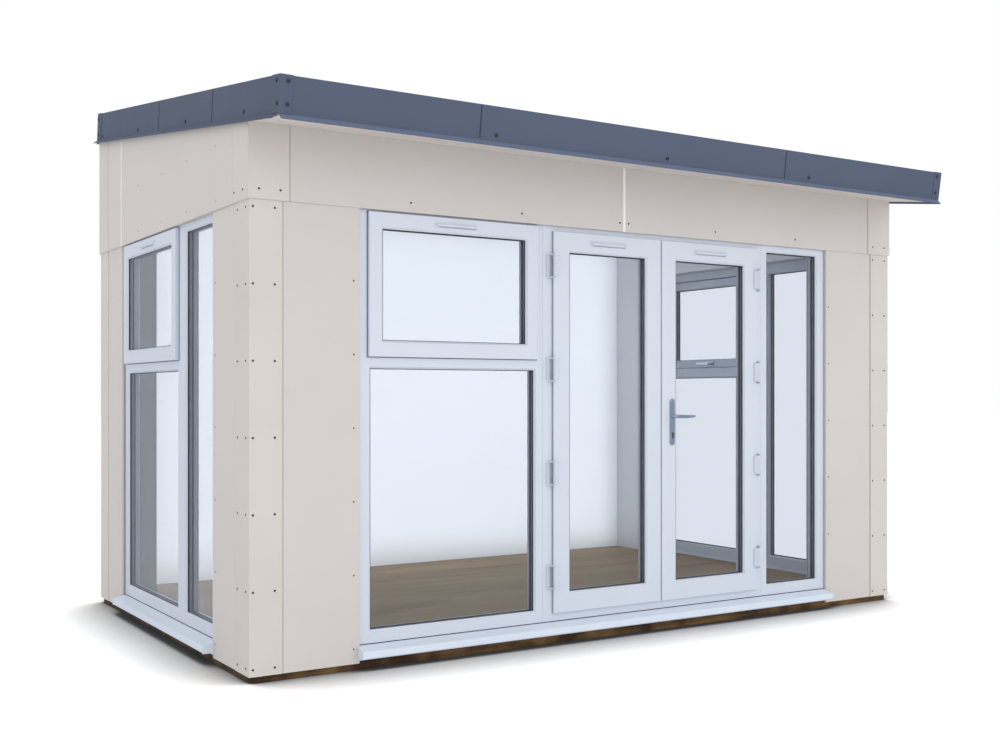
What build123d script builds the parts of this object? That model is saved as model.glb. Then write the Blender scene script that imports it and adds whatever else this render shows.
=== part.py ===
"""Garden office pod: a flat-pack garden room with a low mono-pitch roof.

Frame: +X to the right along the front, +Y to the rear, +Z up, millimetres.
The origin is the middle of the wall footprint, on the ground under the bearers.
"Face line" below means the vertical plane of the lower corner trims' outer faces.
"""

import math
import os

from build123d import *

# ---------------------------------------------------------------- driving sizes
# Overall plan, on the face lines, and the levels of the floor and the wall boards.
width = 4000.0
depth = 2430.0
floor_level = 84.0
cladding_bottom = 29.0
header_height = 300.0
band_lap = 25.5

# Base
rim_height = 66.0
rim_width = 70.0
joist_width = 45.0
joist_spacing = 400.0

# Walls: thicknesses are measured inwards from the face line.
front_wall = 150.0
side_wall = 200.0
rear_wall_depth = 60.0
trim_sheet = 3.0
cladding_board = 12.0
band_board = 20.0
board_joint = 12.0

# Corner trims
lower_trim_front_leg = 150.0
lower_trim_side_leg = 165.0
upper_trim_front_leg = 186.0
upper_trim_side_leg = 190.0
upper_trim_sheet = 2.0
front_band_joint = 2000.0
side_band_joint = 1963.0
joint_cover = 14.0
joint_web = 6.0
joint_proud = 1.5

# Roof, measured along its own slope
roof_pitch = 7.9
front_overhang = 351.0
rear_overhang = 40.7
side_overhang = 8.0
soffit_board_thickness = 10.0
deck_thickness = 150.0
membrane_thickness = 2.0

# Folded metal roof edge
sheet = 2.0
edge_flange = 28.0
kick_out = 25.0
kick_drop = 20.0
flat_above_deck = 1.0
edge_joint_gap = 2.0
front_edge_joints = [925.0, 2780.0]
side_edge_joints = [800.0, 1620.0]
cap_front_leg = 55.0
cap_side_leg = 80.0

# Plastic window and door sections
frame_recess = 20.0
frame_depth = 70.0
frame_face = 63.5
frame_above_floor = 21.0
frame_height = 1975.0
frame_round = 2.5
glazing_lip = 12.0
glass_unit = 28.0
glass_cover = 12.0
sight_bevel = 9.0
bead_bevel = 6.0

# Front row of units, from the left face line
front_unit_start = 516.0
front_window_width = 997.0
door_width = 1468.0
front_sidelight_width = 495.0
front_coupled_face = 48.5

# Side row of units, from the front face line
side_unit_start = 462.0
side_sidelight_width = 506.0
side_window_width = 1008.0

# Top-hung opener over a fixed pane
transom_rise = 1237.6
transom_face = 52.4
opener_margin = 39.0
front_opener_outer_margin = 47.0
opener_head_margin = 34.0
opener_lap = 16.0
opener_gap = 4.0
opener_stile = 70.0
opener_rail = 74.0
opener_depth = 70.0

# Pair of doors
door_left_margin = 57.0
door_right_margin = 43.0
door_head_margin = 50.0
door_sill_margin = 43.0
door_lap = 12.0
door_gap = 6.0
door_flange = 10.0
door_air_gap = 5.0
door_depth = 70.0
door_stile = 101.0
meeting_gap = 7.0
meeting_step = 12.0

# Sill: the top falls to the nose, and a foot under it closes on the wall
sill_nose_out = 47.0
sill_horn = 8.0
sill_fall = 19.0
sill_drop = 51.0
sill_nose_round = 6.0
sill_foot_height = 14.0
sill_foot_width = 9.0
sill_cap = 3.0
sill_cap_proud = 1.5

# Hinges
hinge_height = 120.0
hinge_count = 4
hinge_bottom_inset = 181.0
hinge_top_inset = 173.0
hinge_axis_out = 12.0
hinge_axis_side = 4.0
barrel_radius = 9.0
pin_radius = 4.0
pin_clearance = 0.3
barrel_joint = 1.0
lug_height = 8.0
leaf_plate = 6.0
leaf_plate_width = 24.0
leaf_plate_inset = 3.0
plate_corner = 9.0
frame_plate = 5.0
frame_plate_width = 20.0
frame_plate_inset = 3.0

# Door furniture
handle_above_floor = 1027.0
handle_inset = 68.0
backplate_height = 244.0
backplate_width = 33.0
backplate_thickness = 10.0
backplate_above_handle = 92.5
backplate_bevel = 6.0
lever_length = 114.0
lever_standoff = 50.0
lever_root_radius = 9.5
lever_belly_radius = 8.5
lever_belly_drop = 2.0
lever_tip_radius = 5.5
lever_thickness = 11.0
lever_bevel = 3.5
neck_radius = 9.0
neck_clearance = 0.4
neck_gap = 1.0
spindle = 8.0
spindle_engagement = 1.0
spindle_bore = 8.0
cylinder_drop = 92.0
cylinder_radius = 8.5
cylinder_leg = 5.0
cylinder_height = 33.0
cylinder_proud = 3.0
cylinder_fit = 0.2

# Background ventilators: a base with a smaller hood on it
vent_length = 235.0
vent_height = 24.0
vent_base = 3.0
vent_border = 5.0
vent_out = 11.0
vent_taper = 20.0

# Inside handles of the openers
rose_length = 62.0
rose_height = 26.0
rose_thickness = 8.0
rose_corner = 8.0
window_neck_radius = 9.0
window_standoff = 30.0
window_lever_length = 112.0
window_lever_tip = 7.0
window_lever_thickness = 10.0

# ---------------------------------------------------------------- derived places
left = -width / 2
right = width / 2
front = -depth / 2
rear = depth / 2
wall_line = trim_sheet + cladding_board
slope = math.tan(math.radians(roof_pitch))
cosine = math.cos(math.radians(roof_pitch))
frame_bottom = floor_level + frame_above_floor
frame_top = frame_bottom + frame_height
band_bottom = frame_top - band_lap
soffit_at_front = frame_top + header_height
transom_bottom = frame_bottom + transom_rise
opener_bottom = transom_bottom + transom_face
handle_level = floor_level + handle_above_floor
deck_bottom = soffit_board_thickness
deck_top = deck_bottom + deck_thickness
edge_flat_bottom = deck_bottom + flat_above_deck
edge_top = deck_top + membrane_thickness + sheet
band_proud = band_board - wall_line
upper_trim_proud = band_proud + upper_trim_sheet

roof = Plane(
    origin=(0, front, soffit_at_front),
    x_dir=(1, 0, 0),
    z_dir=(0, -math.sin(math.radians(roof_pitch)), cosine),
)
roof_front = -front_overhang
roof_rear = depth / cosine + rear_overhang
roof_half = width / 2 + side_overhang

window_x = (left + front_unit_start, left + front_unit_start + front_window_width)
door_x = (window_x[1], window_x[1] + door_width)
sidelight_x = (door_x[1], door_x[1] + front_sidelight_width)
side_light_y = (front + side_unit_start, front + side_unit_start + side_sidelight_width)
side_window_y = (side_light_y[1], side_light_y[1] + side_window_width)

pieces = {}


def keep(builder, name):
    """Remember one finished piece under its node name."""
    pieces[name] = builder.part


def roof_level(y, height=0.0):
    """World height of the plane that lies the given height over the soffit plane, at world y."""
    return soffit_at_front + (y - front) * slope + height / cosine


def rect(x0, x1, y0, y1, mode=Mode.ADD):
    """Rectangle between two corners of the current sketch plane."""
    with Locations(((x0 + x1) / 2, (y0 + y1) / 2)):
        Rectangle(x1 - x0, y1 - y0, mode=mode)


def outline(*points):
    """Closed polygon of the current sketch plane."""
    with BuildLine() as border:
        Polyline(*points, close=True)
    make_face(border.edges())


def side_profile(y0, y1, z0, height):
    """Wall profile in the YZ plane whose top follows the roof slope."""
    outline((y0, z0), (y1, z0), (y1, roof_level(y1, height)), (y0, roof_level(y0, height)))


# ---------------------------------------------------------------- base and floor
base_left = left + wall_line
base_front = front + wall_line
base_rear = rear - wall_line

with BuildPart() as base_rim_bearers:
    with BuildSketch(Plane.XY):
        rect(base_left, -base_left, base_front, base_front + rim_width)
        rect(base_left, -base_left, base_rear - rim_width, base_rear)
    extrude(amount=rim_height)
keep(base_rim_bearers, "base_rim_bearers")

joist_run = -base_left - joist_width / 2
joist_pairs = math.ceil(joist_run / joist_spacing) - 1
with BuildPart() as base_joists:
    with BuildSketch(Plane.XY):
        inner_joists = [joist_spacing * i for i in range(-joist_pairs, joist_pairs + 1)]
        for x in [-joist_run] + inner_joists + [joist_run]:
            rect(x - joist_width / 2, x + joist_width / 2, base_front + rim_width, base_rear - rim_width)
    extrude(amount=rim_height)
keep(base_joists, "base_joists")

with BuildPart() as floor_deck:
    with BuildSketch(Plane.XY.offset(rim_height)):
        rect(base_left, -base_left, base_front, base_rear)
    extrude(amount=floor_level - rim_height)
keep(floor_deck, "floor_deck")

# ---------------------------------------------------------------- insulated wall panels
opening_left = window_x[0]
opening_right = sidelight_x[1]
opening_front = side_light_y[0]
opening_rear = side_window_y[1]
front_inside = front + front_wall
rear_inside = rear - rear_wall_depth
side_inside = left + side_wall


def cross_wall(x0, x1, y0, y1, z0):
    """Panel that runs along X, with its top cut to the roof slope."""
    with BuildPart() as wall:
        with BuildSketch(Plane.YZ.offset(x0)):
            side_profile(y0, y1, z0, deck_bottom)
        extrude(amount=x1 - x0)
    return wall


keep(cross_wall(base_left, opening_left, base_front, front_inside, floor_level), "front_wall_left_pier")
keep(cross_wall(opening_right, -base_left, base_front, front_inside, floor_level), "front_wall_right_pier")
keep(cross_wall(opening_left, opening_right, base_front, front_inside, frame_top), "front_wall_header")
keep(cross_wall(base_left, -base_left, rear_inside, base_rear, floor_level), "rear_wall")

side_spans = {
    "wall_front_pier": (front_inside, opening_front, floor_level),
    "wall_rear_pier": (opening_rear, rear_inside, floor_level),
    "wall_header": (opening_front, opening_rear, frame_top),
}
for name, (y0, y1, z0) in side_spans.items():
    with BuildPart() as left_panel:
        with BuildSketch(Plane.YZ.offset(base_left)):
            side_profile(y0, y1, z0, deck_bottom)
        extrude(amount=side_inside - base_left)
    keep(left_panel, "left_" + name)
    with BuildPart() as right_panel:
        mirror(left_panel.part, about=Plane.YZ)
    keep(right_panel, "right_" + name)

# ---------------------------------------------------------------- cladding boards
cladding_face = left + trim_sheet

with BuildPart() as front_cladding:
    with BuildSketch(Plane.XZ.offset(-base_front)):
        rect(cladding_face, opening_left, cladding_bottom, band_bottom)
        rect(opening_right, -cladding_face, cladding_bottom, band_bottom)
    extrude(amount=cladding_board)
keep(front_cladding, "front_cladding")

with BuildPart() as side_cladding:
    with BuildSketch(Plane.YZ.offset(base_left)):
        rect(base_front, opening_front, cladding_bottom, band_bottom)
        rect(opening_rear, base_rear, cladding_bottom, band_bottom)
    extrude(amount=-cladding_board)
    mirror(about=Plane.YZ)
keep(side_cladding, "side_cladding")

with BuildPart() as rear_cladding:
    with BuildSketch(Plane.XZ.offset(-base_rear)):
        rect(cladding_face, -board_joint / 2, cladding_bottom, band_bottom)
        rect(board_joint / 2, -cladding_face, cladding_bottom, band_bottom)
    extrude(amount=-cladding_board)
keep(rear_cladding, "rear_cladding")

# Header band: boards that stand a little proud of the cladding, up to the roof.
band_face = left - band_proud
front_joint_x = left + front_band_joint
side_joint_y = front + side_band_joint

with BuildPart() as front_header_band:
    for x0, x1 in [(band_face, front_joint_x - joint_web / 2), (front_joint_x + joint_web / 2, -band_face)]:
        with BuildSketch(Plane.YZ.offset(x0)):
            side_profile(front - band_proud, base_front, band_bottom, 0)
        extrude(amount=x1 - x0)
keep(front_header_band, "front_header_band")

with BuildPart() as side_header_bands:
    with BuildSketch(Plane.YZ.offset(base_left)):
        side_profile(base_front, side_joint_y - joint_web / 2, band_bottom, deck_bottom)
    extrude(amount=-band_board)
    with BuildSketch(Plane.YZ.offset(base_left)):
        side_profile(side_joint_y + joint_web / 2, base_rear, band_bottom, deck_bottom)
    extrude(amount=-band_board)
    mirror(about=Plane.YZ)
keep(side_header_bands, "side_header_bands")

with BuildPart() as rear_header_band:
    for x0, x1 in [(band_face, -joint_web / 2), (joint_web / 2, -band_face)]:
        with BuildSketch(Plane.YZ.offset(x0)):
            side_profile(base_rear, rear + band_proud, band_bottom, deck_bottom)
        extrude(amount=x1 - x0)
keep(rear_header_band, "rear_header_band")

# Joint strips: T sections whose web closes the joint and whose cover laps both boards.
front_strip_top = roof_level(front - band_proud - joint_proud)
rear_strip_top = roof_level(base_rear, deck_bottom)

with BuildPart() as header_joint_strips:
    with BuildSketch(Plane.XY.offset(band_bottom)):
        with Locations((front_joint_x, base_front - band_board / 2)):
            Rectangle(joint_web, band_board)
        with Locations((front_joint_x, front - band_proud - joint_proud / 2)):
            Rectangle(joint_cover, joint_proud)
    extrude(amount=front_strip_top - band_bottom)
    with BuildSketch(Plane.XY.offset(band_bottom)):
        with Locations((0, base_rear + band_board / 2)):
            Rectangle(joint_web, band_board)
        with Locations((0, rear + band_proud + joint_proud / 2)):
            Rectangle(joint_cover, joint_proud)
    extrude(amount=rear_strip_top - band_bottom)
    with BuildSketch(Plane.XY.offset(cladding_bottom)):
        with Locations((0, base_rear + cladding_board / 2)):
            Rectangle(board_joint, cladding_board)
    extrude(amount=band_bottom - cladding_bottom)
    side_strip_top = roof_level(side_joint_y - joint_cover / 2, deck_bottom)
    with BuildSketch(Plane.XY.offset(band_bottom)):
        with Locations((base_left - band_board / 2, side_joint_y)):
            Rectangle(band_board, joint_web)
        with Locations((band_face - joint_proud / 2, side_joint_y)):
            Rectangle(joint_proud, joint_cover)
        mirror(about=Plane.YZ)
    extrude(amount=side_strip_top - band_bottom)
keep(header_joint_strips, "header_joint_strips")


# ---------------------------------------------------------------- corner trims
def corner_angle(face_x, face_y, inward_y, front_leg, side_leg, thickness):
    """L outline of one corner trim on the left, its corner outside at (face_x, face_y)."""
    y1 = face_y + inward_y * side_leg
    y2 = face_y + inward_y * thickness
    outline(
        (face_x, face_y),
        (face_x + front_leg, face_y),
        (face_x + front_leg, y2),
        (face_x + thickness, y2),
        (face_x + thickness, y1),
        (face_x, y1),
    )


with BuildPart() as lower_corner_trims:
    with BuildSketch(Plane.XY.offset(cladding_bottom)):
        corner_angle(left, front, 1, lower_trim_front_leg, lower_trim_side_leg, trim_sheet)
        corner_angle(left, rear, -1, lower_trim_front_leg, lower_trim_side_leg, trim_sheet)
        mirror(about=Plane.YZ)
    extrude(amount=band_bottom - cladding_bottom)
keep(lower_corner_trims, "lower_corner_trims")

upper_face_x = left - upper_trim_proud
upper_front = front - upper_trim_proud
upper_rear = rear + upper_trim_proud
with BuildPart() as upper_corner_trims:
    with BuildSketch(Plane.XY.offset(band_bottom)):
        corner_angle(upper_face_x, upper_front, 1, upper_trim_front_leg, upper_trim_side_leg, upper_trim_sheet)
        corner_angle(upper_face_x, upper_rear, -1, upper_trim_front_leg, upper_trim_side_leg, upper_trim_sheet)
        mirror(about=Plane.YZ)
    extrude(amount=roof_level(upper_rear, deck_top) - band_bottom)
    split(bisect_by=roof.offset(deck_bottom), keep=Keep.BOTTOM)
    with BuildSketch(roof):
        rect(-roof_half, roof_half, roof_front, wall_line / cosine)
    extrude(amount=soffit_board_thickness, mode=Mode.SUBTRACT)
keep(upper_corner_trims, "upper_corner_trims")

# ---------------------------------------------------------------- roof
with BuildPart() as roof_deck:
    with BuildSketch(roof.offset(deck_bottom)):
        rect(-roof_half, roof_half, roof_front, roof_rear)
    extrude(amount=deck_thickness)
keep(roof_deck, "roof_deck")

with BuildPart() as roof_membrane:
    with BuildSketch(roof.offset(deck_top)):
        rect(-roof_half, roof_half, roof_front, roof_rear)
    extrude(amount=membrane_thickness)
keep(roof_membrane, "roof_membrane")

with BuildPart() as soffit_board:
    with BuildSketch(roof):
        rect(-roof_half, roof_half, roof_front, wall_line / cosine)
    extrude(amount=soffit_board_thickness)
keep(soffit_board, "soffit_board")

# ---------------------------------------------------------------- folded roof edge
kick_length = math.hypot(kick_out, kick_drop)
kick_normal = (kick_drop / kick_length, kick_out / kick_length)


def edge_section():
    """Folded sheet: top flange, upright face and the drip kick that leans out below it."""
    tip = (sheet + kick_out, edge_flat_bottom - kick_drop)
    under_tip = (tip[0] - sheet * kick_normal[0], tip[1] - sheet * kick_normal[1])
    fold = under_tip[1] + under_tip[0] * kick_drop / kick_out
    outline(
        (-edge_flange, edge_top),
        (sheet, edge_top),
        (sheet, edge_flat_bottom),
        tip,
        under_tip,
        (0, fold),
        (0, edge_top - sheet),
        (-edge_flange, edge_top - sheet),
    )


def runs(start, end, joints):
    """Lengths between the ends and the butt joints, with the joint gap left open."""
    stops = [start - edge_joint_gap / 2] + joints + [end + edge_joint_gap / 2]
    return [(a + edge_joint_gap / 2, b - edge_joint_gap / 2) for a, b in zip(stops, stops[1:])]


roof_front_edge = Plane(origin=roof.from_local_coords((0, roof_front, 0)), x_dir=-roof.y_dir, z_dir=(-1, 0, 0))
roof_rear_edge = Plane(origin=roof.from_local_coords((0, roof_rear, 0)), x_dir=roof.y_dir, z_dir=(1, 0, 0))
roof_left_edge = Plane(origin=roof.from_local_coords((-roof_half, 0, 0)), x_dir=(-1, 0, 0), z_dir=roof.y_dir)
edge_inset = edge_flange + edge_joint_gap

with BuildPart() as front_fascia:
    for x0, x1 in runs(-roof_half, roof_half, [left + x for x in front_edge_joints]):
        with BuildSketch(roof_front_edge.offset(-x0)):
            edge_section()
        extrude(amount=x0 - x1)
keep(front_fascia, "front_fascia")

with BuildPart() as rear_fascia:
    for x0, x1 in runs(-roof_half, roof_half, [left + x for x in front_edge_joints]):
        with BuildSketch(roof_rear_edge.offset(x0)):
            edge_section()
        extrude(amount=x1 - x0)
keep(rear_fascia, "rear_fascia")

with BuildPart() as side_fascias:
    for s0, s1 in runs(roof_front, roof_rear, [roof_front + s for s in side_edge_joints]):
        with BuildSketch(roof_left_edge.offset(s0)):
            edge_section()
        extrude(amount=s1 - s0)
    with BuildSketch(roof.offset(edge_top - sheet)):
        rect(-roof_half, -roof_half + edge_inset, roof_front, roof_front + edge_inset)
        rect(-roof_half, -roof_half + edge_inset, roof_rear - edge_inset, roof_rear)
    extrude(amount=sheet, mode=Mode.SUBTRACT)
    mirror(about=Plane.YZ)
keep(side_fascias, "side_fascias")

with BuildPart() as fascia_corner_caps:
    cap_x = -roof_half - sheet
    for cap_y, inward in [(roof_front - sheet, 1), (roof_rear + sheet, -1)]:
        with BuildSketch(roof.offset(edge_flat_bottom)):
            outer_y = cap_y - inward * sheet
            rect(cap_x - sheet, cap_x + cap_front_leg, *sorted((outer_y, cap_y + inward * cap_side_leg)))
            rect(cap_x, cap_x + cap_front_leg, *sorted((cap_y, cap_y + inward * cap_side_leg)), mode=Mode.SUBTRACT)
        extrude(amount=edge_top + sheet - edge_flat_bottom)
        with BuildSketch(roof.offset(edge_top)):
            rect(cap_x, cap_x + cap_front_leg, *sorted((cap_y, cap_y + inward * cap_side_leg)))
        extrude(amount=sheet)
    mirror(about=Plane.YZ)
keep(fascia_corner_caps, "fascia_corner_caps")

# ---------------------------------------------------------------- plastic frames
front_face = Plane.XZ.offset(-(front + frame_recess))
left_face = Plane.YZ.offset(left + frame_recess)


def grow(box, amount):
    """The same rectangle, larger by the amount on every side."""
    x0, x1, z0, z1 = box
    return (x0 - amount, x1 + amount, z0 - amount, z1 + amount)


def pocket(plane, inward, box, depth_from, thickness):
    """Cut a rectangular pocket that starts at a depth behind the plane."""
    with BuildSketch(plane.offset(inward * depth_from)) as cut:
        rect(*box)
    extrude(cut.sketch, amount=inward * thickness, mode=Mode.SUBTRACT)


def ease_edges(builder, axis, side, bevel):
    """Splay the edges round each light on one face, side 0 outside or -1 inside, and round its rim outside."""
    sight_edges = [edge for wire in builder.faces().sort_by(axis)[side].inner_wires() for edge in wire.edges()]
    if sight_edges:
        chamfer(sight_edges, bevel)
    if side == 0:
        fillet(builder.faces().sort_by(axis)[side].outer_wire().edges(), frame_round)


def fixed_frame(plane, inward, axis, box, lights, holes):
    """Outer frame with glazed lights and with plain holes that a sash or a door closes."""
    with BuildPart() as frame:
        with BuildSketch(plane):
            rect(*box)
            for light in lights:
                rect(*light, mode=Mode.SUBTRACT)
        extrude(amount=inward * frame_depth)
        ease_edges(frame, axis, 0, sight_bevel)
        ease_edges(frame, axis, -1, bead_bevel)
        for light in lights:
            pocket(plane, inward, grow(light, glass_cover), glazing_lip, glass_unit)
        for hole in holes:
            pocket(plane, inward, hole, 0, frame_depth)
    return frame


def sash(plane, inward, axis, face, body, flange, total, light):
    """Stepped sash ring: a flange that laps the frame and a body that stands inside it."""
    with BuildPart() as ring:
        with BuildSketch(plane):
            rect(*face)
            rect(*light, mode=Mode.SUBTRACT)
        extrude(amount=inward * flange)
        with BuildSketch(plane.offset(inward * flange)):
            rect(*body)
            rect(*light, mode=Mode.SUBTRACT)
        extrude(amount=inward * (total - flange))
        ease_edges(ring, axis, 0, sight_bevel)
        ease_edges(ring, axis, -1, bead_bevel)
        pocket(plane, inward, grow(light, glass_cover), glazing_lip, glass_unit)
    return ring


def pane(plane, inward, light):
    """Add one glass unit behind the glazing lip."""
    with BuildSketch(plane.offset(inward * glazing_lip)) as sheet_of_glass:
        rect(*grow(light, glass_cover))
    extrude(sheet_of_glass.sketch, amount=inward * glass_unit)


def window_layout(x0, x1, first_margin, last_face):
    """Boxes of the opener, its hole and its glass, and of the fixed pane below the transom.

    The first margin lies between x0 and the opener, and the last face between the fixed pane and x1.
    """
    opener = (x0 + first_margin, x1 - opener_margin, opener_bottom, frame_top - opener_head_margin)
    hole = grow(opener, -opener_lap)
    body = grow(hole, -opener_gap)
    sash_x0, sash_x1, sash_bottom, sash_top = opener
    opener_glass = (sash_x0 + opener_stile, sash_x1 - opener_stile, sash_bottom + opener_rail, sash_top - opener_rail)
    fixed = (x0 + frame_face, x1 - last_face, frame_bottom + frame_face, transom_bottom)
    return opener, hole, body, opener_glass, fixed


def plain_light(x0, x1, first_face):
    """Glazed light of a frame with no sash, with the given face between x0 and the light."""
    return (x0 + first_face, x1 - frame_face, frame_bottom + frame_face, frame_top - frame_face)


front_opener, front_hole, front_body, front_opener_light, front_fixed_light = window_layout(
    *window_x, front_opener_outer_margin, front_coupled_face
)
side_opener, side_hole, side_body, side_opener_light, side_fixed_light = window_layout(
    *side_window_y, opener_margin, frame_face
)
sidelight_light = plain_light(*sidelight_x, front_coupled_face)
side_sidelight_light = plain_light(*side_light_y, frame_face)

front_window_frame = fixed_frame(
    front_face, -1, Axis.Y, (*window_x, frame_bottom, frame_top), [front_fixed_light], [front_hole]
)
keep(front_window_frame, "front_window_frame")

front_sidelight_frame = fixed_frame(
    front_face, -1, Axis.Y, (*sidelight_x, frame_bottom, frame_top), [sidelight_light], []
)
keep(front_sidelight_frame, "front_sidelight_frame")

left_window_frame = fixed_frame(
    left_face, 1, Axis.X, (*side_window_y, frame_bottom, frame_top), [side_fixed_light], [side_hole]
)
keep(left_window_frame, "left_window_frame")

left_sidelight_frame = fixed_frame(
    left_face, 1, Axis.X, (*side_light_y, frame_bottom, frame_top), [side_sidelight_light], []
)
keep(left_sidelight_frame, "left_sidelight_frame")

with BuildPart() as right_window_frame:
    mirror(left_window_frame.part, about=Plane.YZ)
keep(right_window_frame, "right_window_frame")

with BuildPart() as right_sidelight_frame:
    mirror(left_sidelight_frame.part, about=Plane.YZ)
keep(right_sidelight_frame, "right_sidelight_frame")

front_sash_face = Plane.XZ.offset(-front)
left_sash_face = Plane.YZ.offset(left)
front_sash = sash(
    front_sash_face, -1, Axis.Y, front_opener, front_body, frame_recess, opener_depth, front_opener_light
)
side_sash = sash(left_sash_face, 1, Axis.X, side_opener, side_body, frame_recess, opener_depth, side_opener_light)
with BuildPart() as opener_sashes:
    add(front_sash.part)
    add(side_sash.part)
    mirror(side_sash.part, about=Plane.YZ)
keep(opener_sashes, "opener_sashes")

with BuildPart() as window_glass:
    pane(left_face, 1, side_sidelight_light)
    pane(left_face, 1, side_fixed_light)
    pane(left_sash_face, 1, side_opener_light)
    mirror(about=Plane.YZ)
    pane(front_face, -1, front_fixed_light)
    pane(front_sash_face, -1, front_opener_light)
    pane(front_face, -1, sidelight_light)
keep(window_glass, "window_glass")


def window_handle(plane, inward, x, z):
    """Rose, neck and lever of one inside handle, closed, with its lever along the rail."""
    with BuildSketch(plane) as rose:
        with Locations((x, z)):
            RectangleRounded(rose_length, rose_height, rose_corner)
    extrude(rose.sketch, amount=inward * rose_thickness)
    with BuildSketch(plane) as neck:
        with Locations((x, z)):
            Circle(window_neck_radius)
    extrude(neck.sketch, amount=inward * window_standoff)
    with BuildSketch(plane.offset(inward * window_standoff)) as arm:
        with Locations((x, z)):
            Circle(window_neck_radius)
        with Locations((x + window_lever_length - window_lever_tip, z)):
            Circle(window_lever_tip)
        make_hull()
    extrude(arm.sketch, amount=inward * window_lever_thickness)


opener_rail_z = (front_body[2] + front_opener_light[2]) / 2
with BuildPart() as window_handles:
    window_handle(left_sash_face.offset(opener_depth), 1, sum(side_window_y) / 2, opener_rail_z)
    mirror(about=Plane.YZ)
    window_handle(front_sash_face.offset(-opener_depth), -1, sum(window_x) / 2, opener_rail_z)
keep(window_handles, "window_handles")

# ---------------------------------------------------------------- doors
doorway_flange = (
    door_x[0] + door_left_margin,
    door_x[1] - door_right_margin,
    frame_bottom + door_sill_margin,
    frame_top - door_head_margin,
)
doorway = grow(doorway_flange, -door_lap)
door_frame = fixed_frame(front_face, -1, Axis.Y, (*door_x, frame_bottom, frame_top), [], [doorway])
keep(door_frame, "door_frame")

door_middle = (doorway_flange[0] + doorway_flange[1]) / 2
door_front = frame_recess - door_air_gap - door_flange
door_face = Plane.XZ.offset(-(front + door_front))
leaf_edges = {
    "left": (doorway_flange[0], door_middle - meeting_gap / 2),
    "right": (door_middle + meeting_gap / 2, doorway_flange[1]),
}


def leaf_boxes(side):
    """Flange, body and glass boxes of one door leaf."""
    x0, x1 = leaf_edges[side]
    z0, z1 = doorway_flange[2:]
    inset = door_lap + door_gap
    body_x = (x0 + inset, x1 - meeting_step) if side == "left" else (x0 + meeting_step, x1 - inset)
    return (x0, x1, z0, z1), (*body_x, z0 + inset, z1 - inset), grow((x0, x1, z0, z1), -door_stile)


left_flange, left_body, left_light = leaf_boxes("left")
right_flange, right_body, right_light = leaf_boxes("right")

left_door_leaf = sash(door_face, -1, Axis.Y, left_flange, left_body, door_flange, door_depth, left_light)
keep(left_door_leaf, "left_door_leaf")

handle_x = leaf_edges["right"][0] + handle_inset
cylinder_z = handle_level - cylinder_drop


def cylinder_outline(extra=0.0):
    """Euro lock section: a round plug with a straight leg below it."""
    with Locations((handle_x, cylinder_z)):
        Circle(cylinder_radius + extra)
    leg_end = cylinder_z + cylinder_radius - cylinder_height + cylinder_leg
    with Locations((handle_x, (cylinder_z + leg_end) / 2)):
        Rectangle(2 * (cylinder_leg + extra), cylinder_z - leg_end)
    with Locations((handle_x, leg_end)):
        Circle(cylinder_leg + extra)


right_ring = sash(door_face, -1, Axis.Y, right_flange, right_body, door_flange, door_depth, right_light)
with BuildPart() as right_door_leaf:
    add(right_ring.part)
    with BuildSketch(door_face):
        with Locations((handle_x, handle_level)):
            Circle(spindle_bore)
        cylinder_outline(cylinder_fit)
    extrude(amount=-door_depth, mode=Mode.SUBTRACT)
keep(right_door_leaf, "right_door_leaf")

for side, light in (("left", left_light), ("right", right_light)):
    with BuildPart() as door_glass:
        pane(door_face, -1, light)
    keep(door_glass, side + "_door_glass")

# ---------------------------------------------------------------- door hinges
axis_y = front - hinge_axis_out
leaf_face_y = front + door_front
frame_face_y = front + frame_recess


def hinge_axis_x(side):
    """X of the hinge line, just outside the edge of the leaf."""
    return leaf_edges[side][0] - hinge_axis_side if side == "left" else leaf_edges[side][1] + hinge_axis_side


def knuckle(axis_x, pad_x, pad_y, z0, z1):
    """Barrel and the web that carries it from the pad, extruded between two levels."""
    with BuildSketch(Plane.XY.offset(z0)) as section:
        with Locations((axis_x, axis_y)):
            Circle(barrel_radius)
        rect(*sorted(pad_x), *sorted(pad_y))
        make_hull()
    extrude(section.sketch, amount=z1 - z0)


def leaf_half(side):
    """Sleeve and screw plate of one hinge in a single body, centred on level zero, bored for the pin."""
    edge = leaf_edges[side][0] if side == "left" else leaf_edges[side][1]
    inward = 1 if side == "left" else -1
    axis_x = hinge_axis_x(side)
    sleeve = hinge_height / 2 - lug_height - barrel_joint
    near = edge + inward * leaf_plate_inset
    pad_x = (near, near + inward * leaf_plate_width)
    with BuildPart() as half:
        knuckle(axis_x, pad_x, (leaf_face_y, leaf_face_y - leaf_plate), -sleeve, sleeve)
        far_edges = half.edges().filter_by(Axis.Y).group_by(Axis.X)[-1 if side == "left" else 0]
        fillet(far_edges, plate_corner)
        with BuildSketch(Plane.XY.offset(-sleeve)):
            with Locations((axis_x, axis_y)):
                Circle(pin_radius + pin_clearance)
        extrude(amount=2 * sleeve, mode=Mode.SUBTRACT)
    return half


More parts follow.
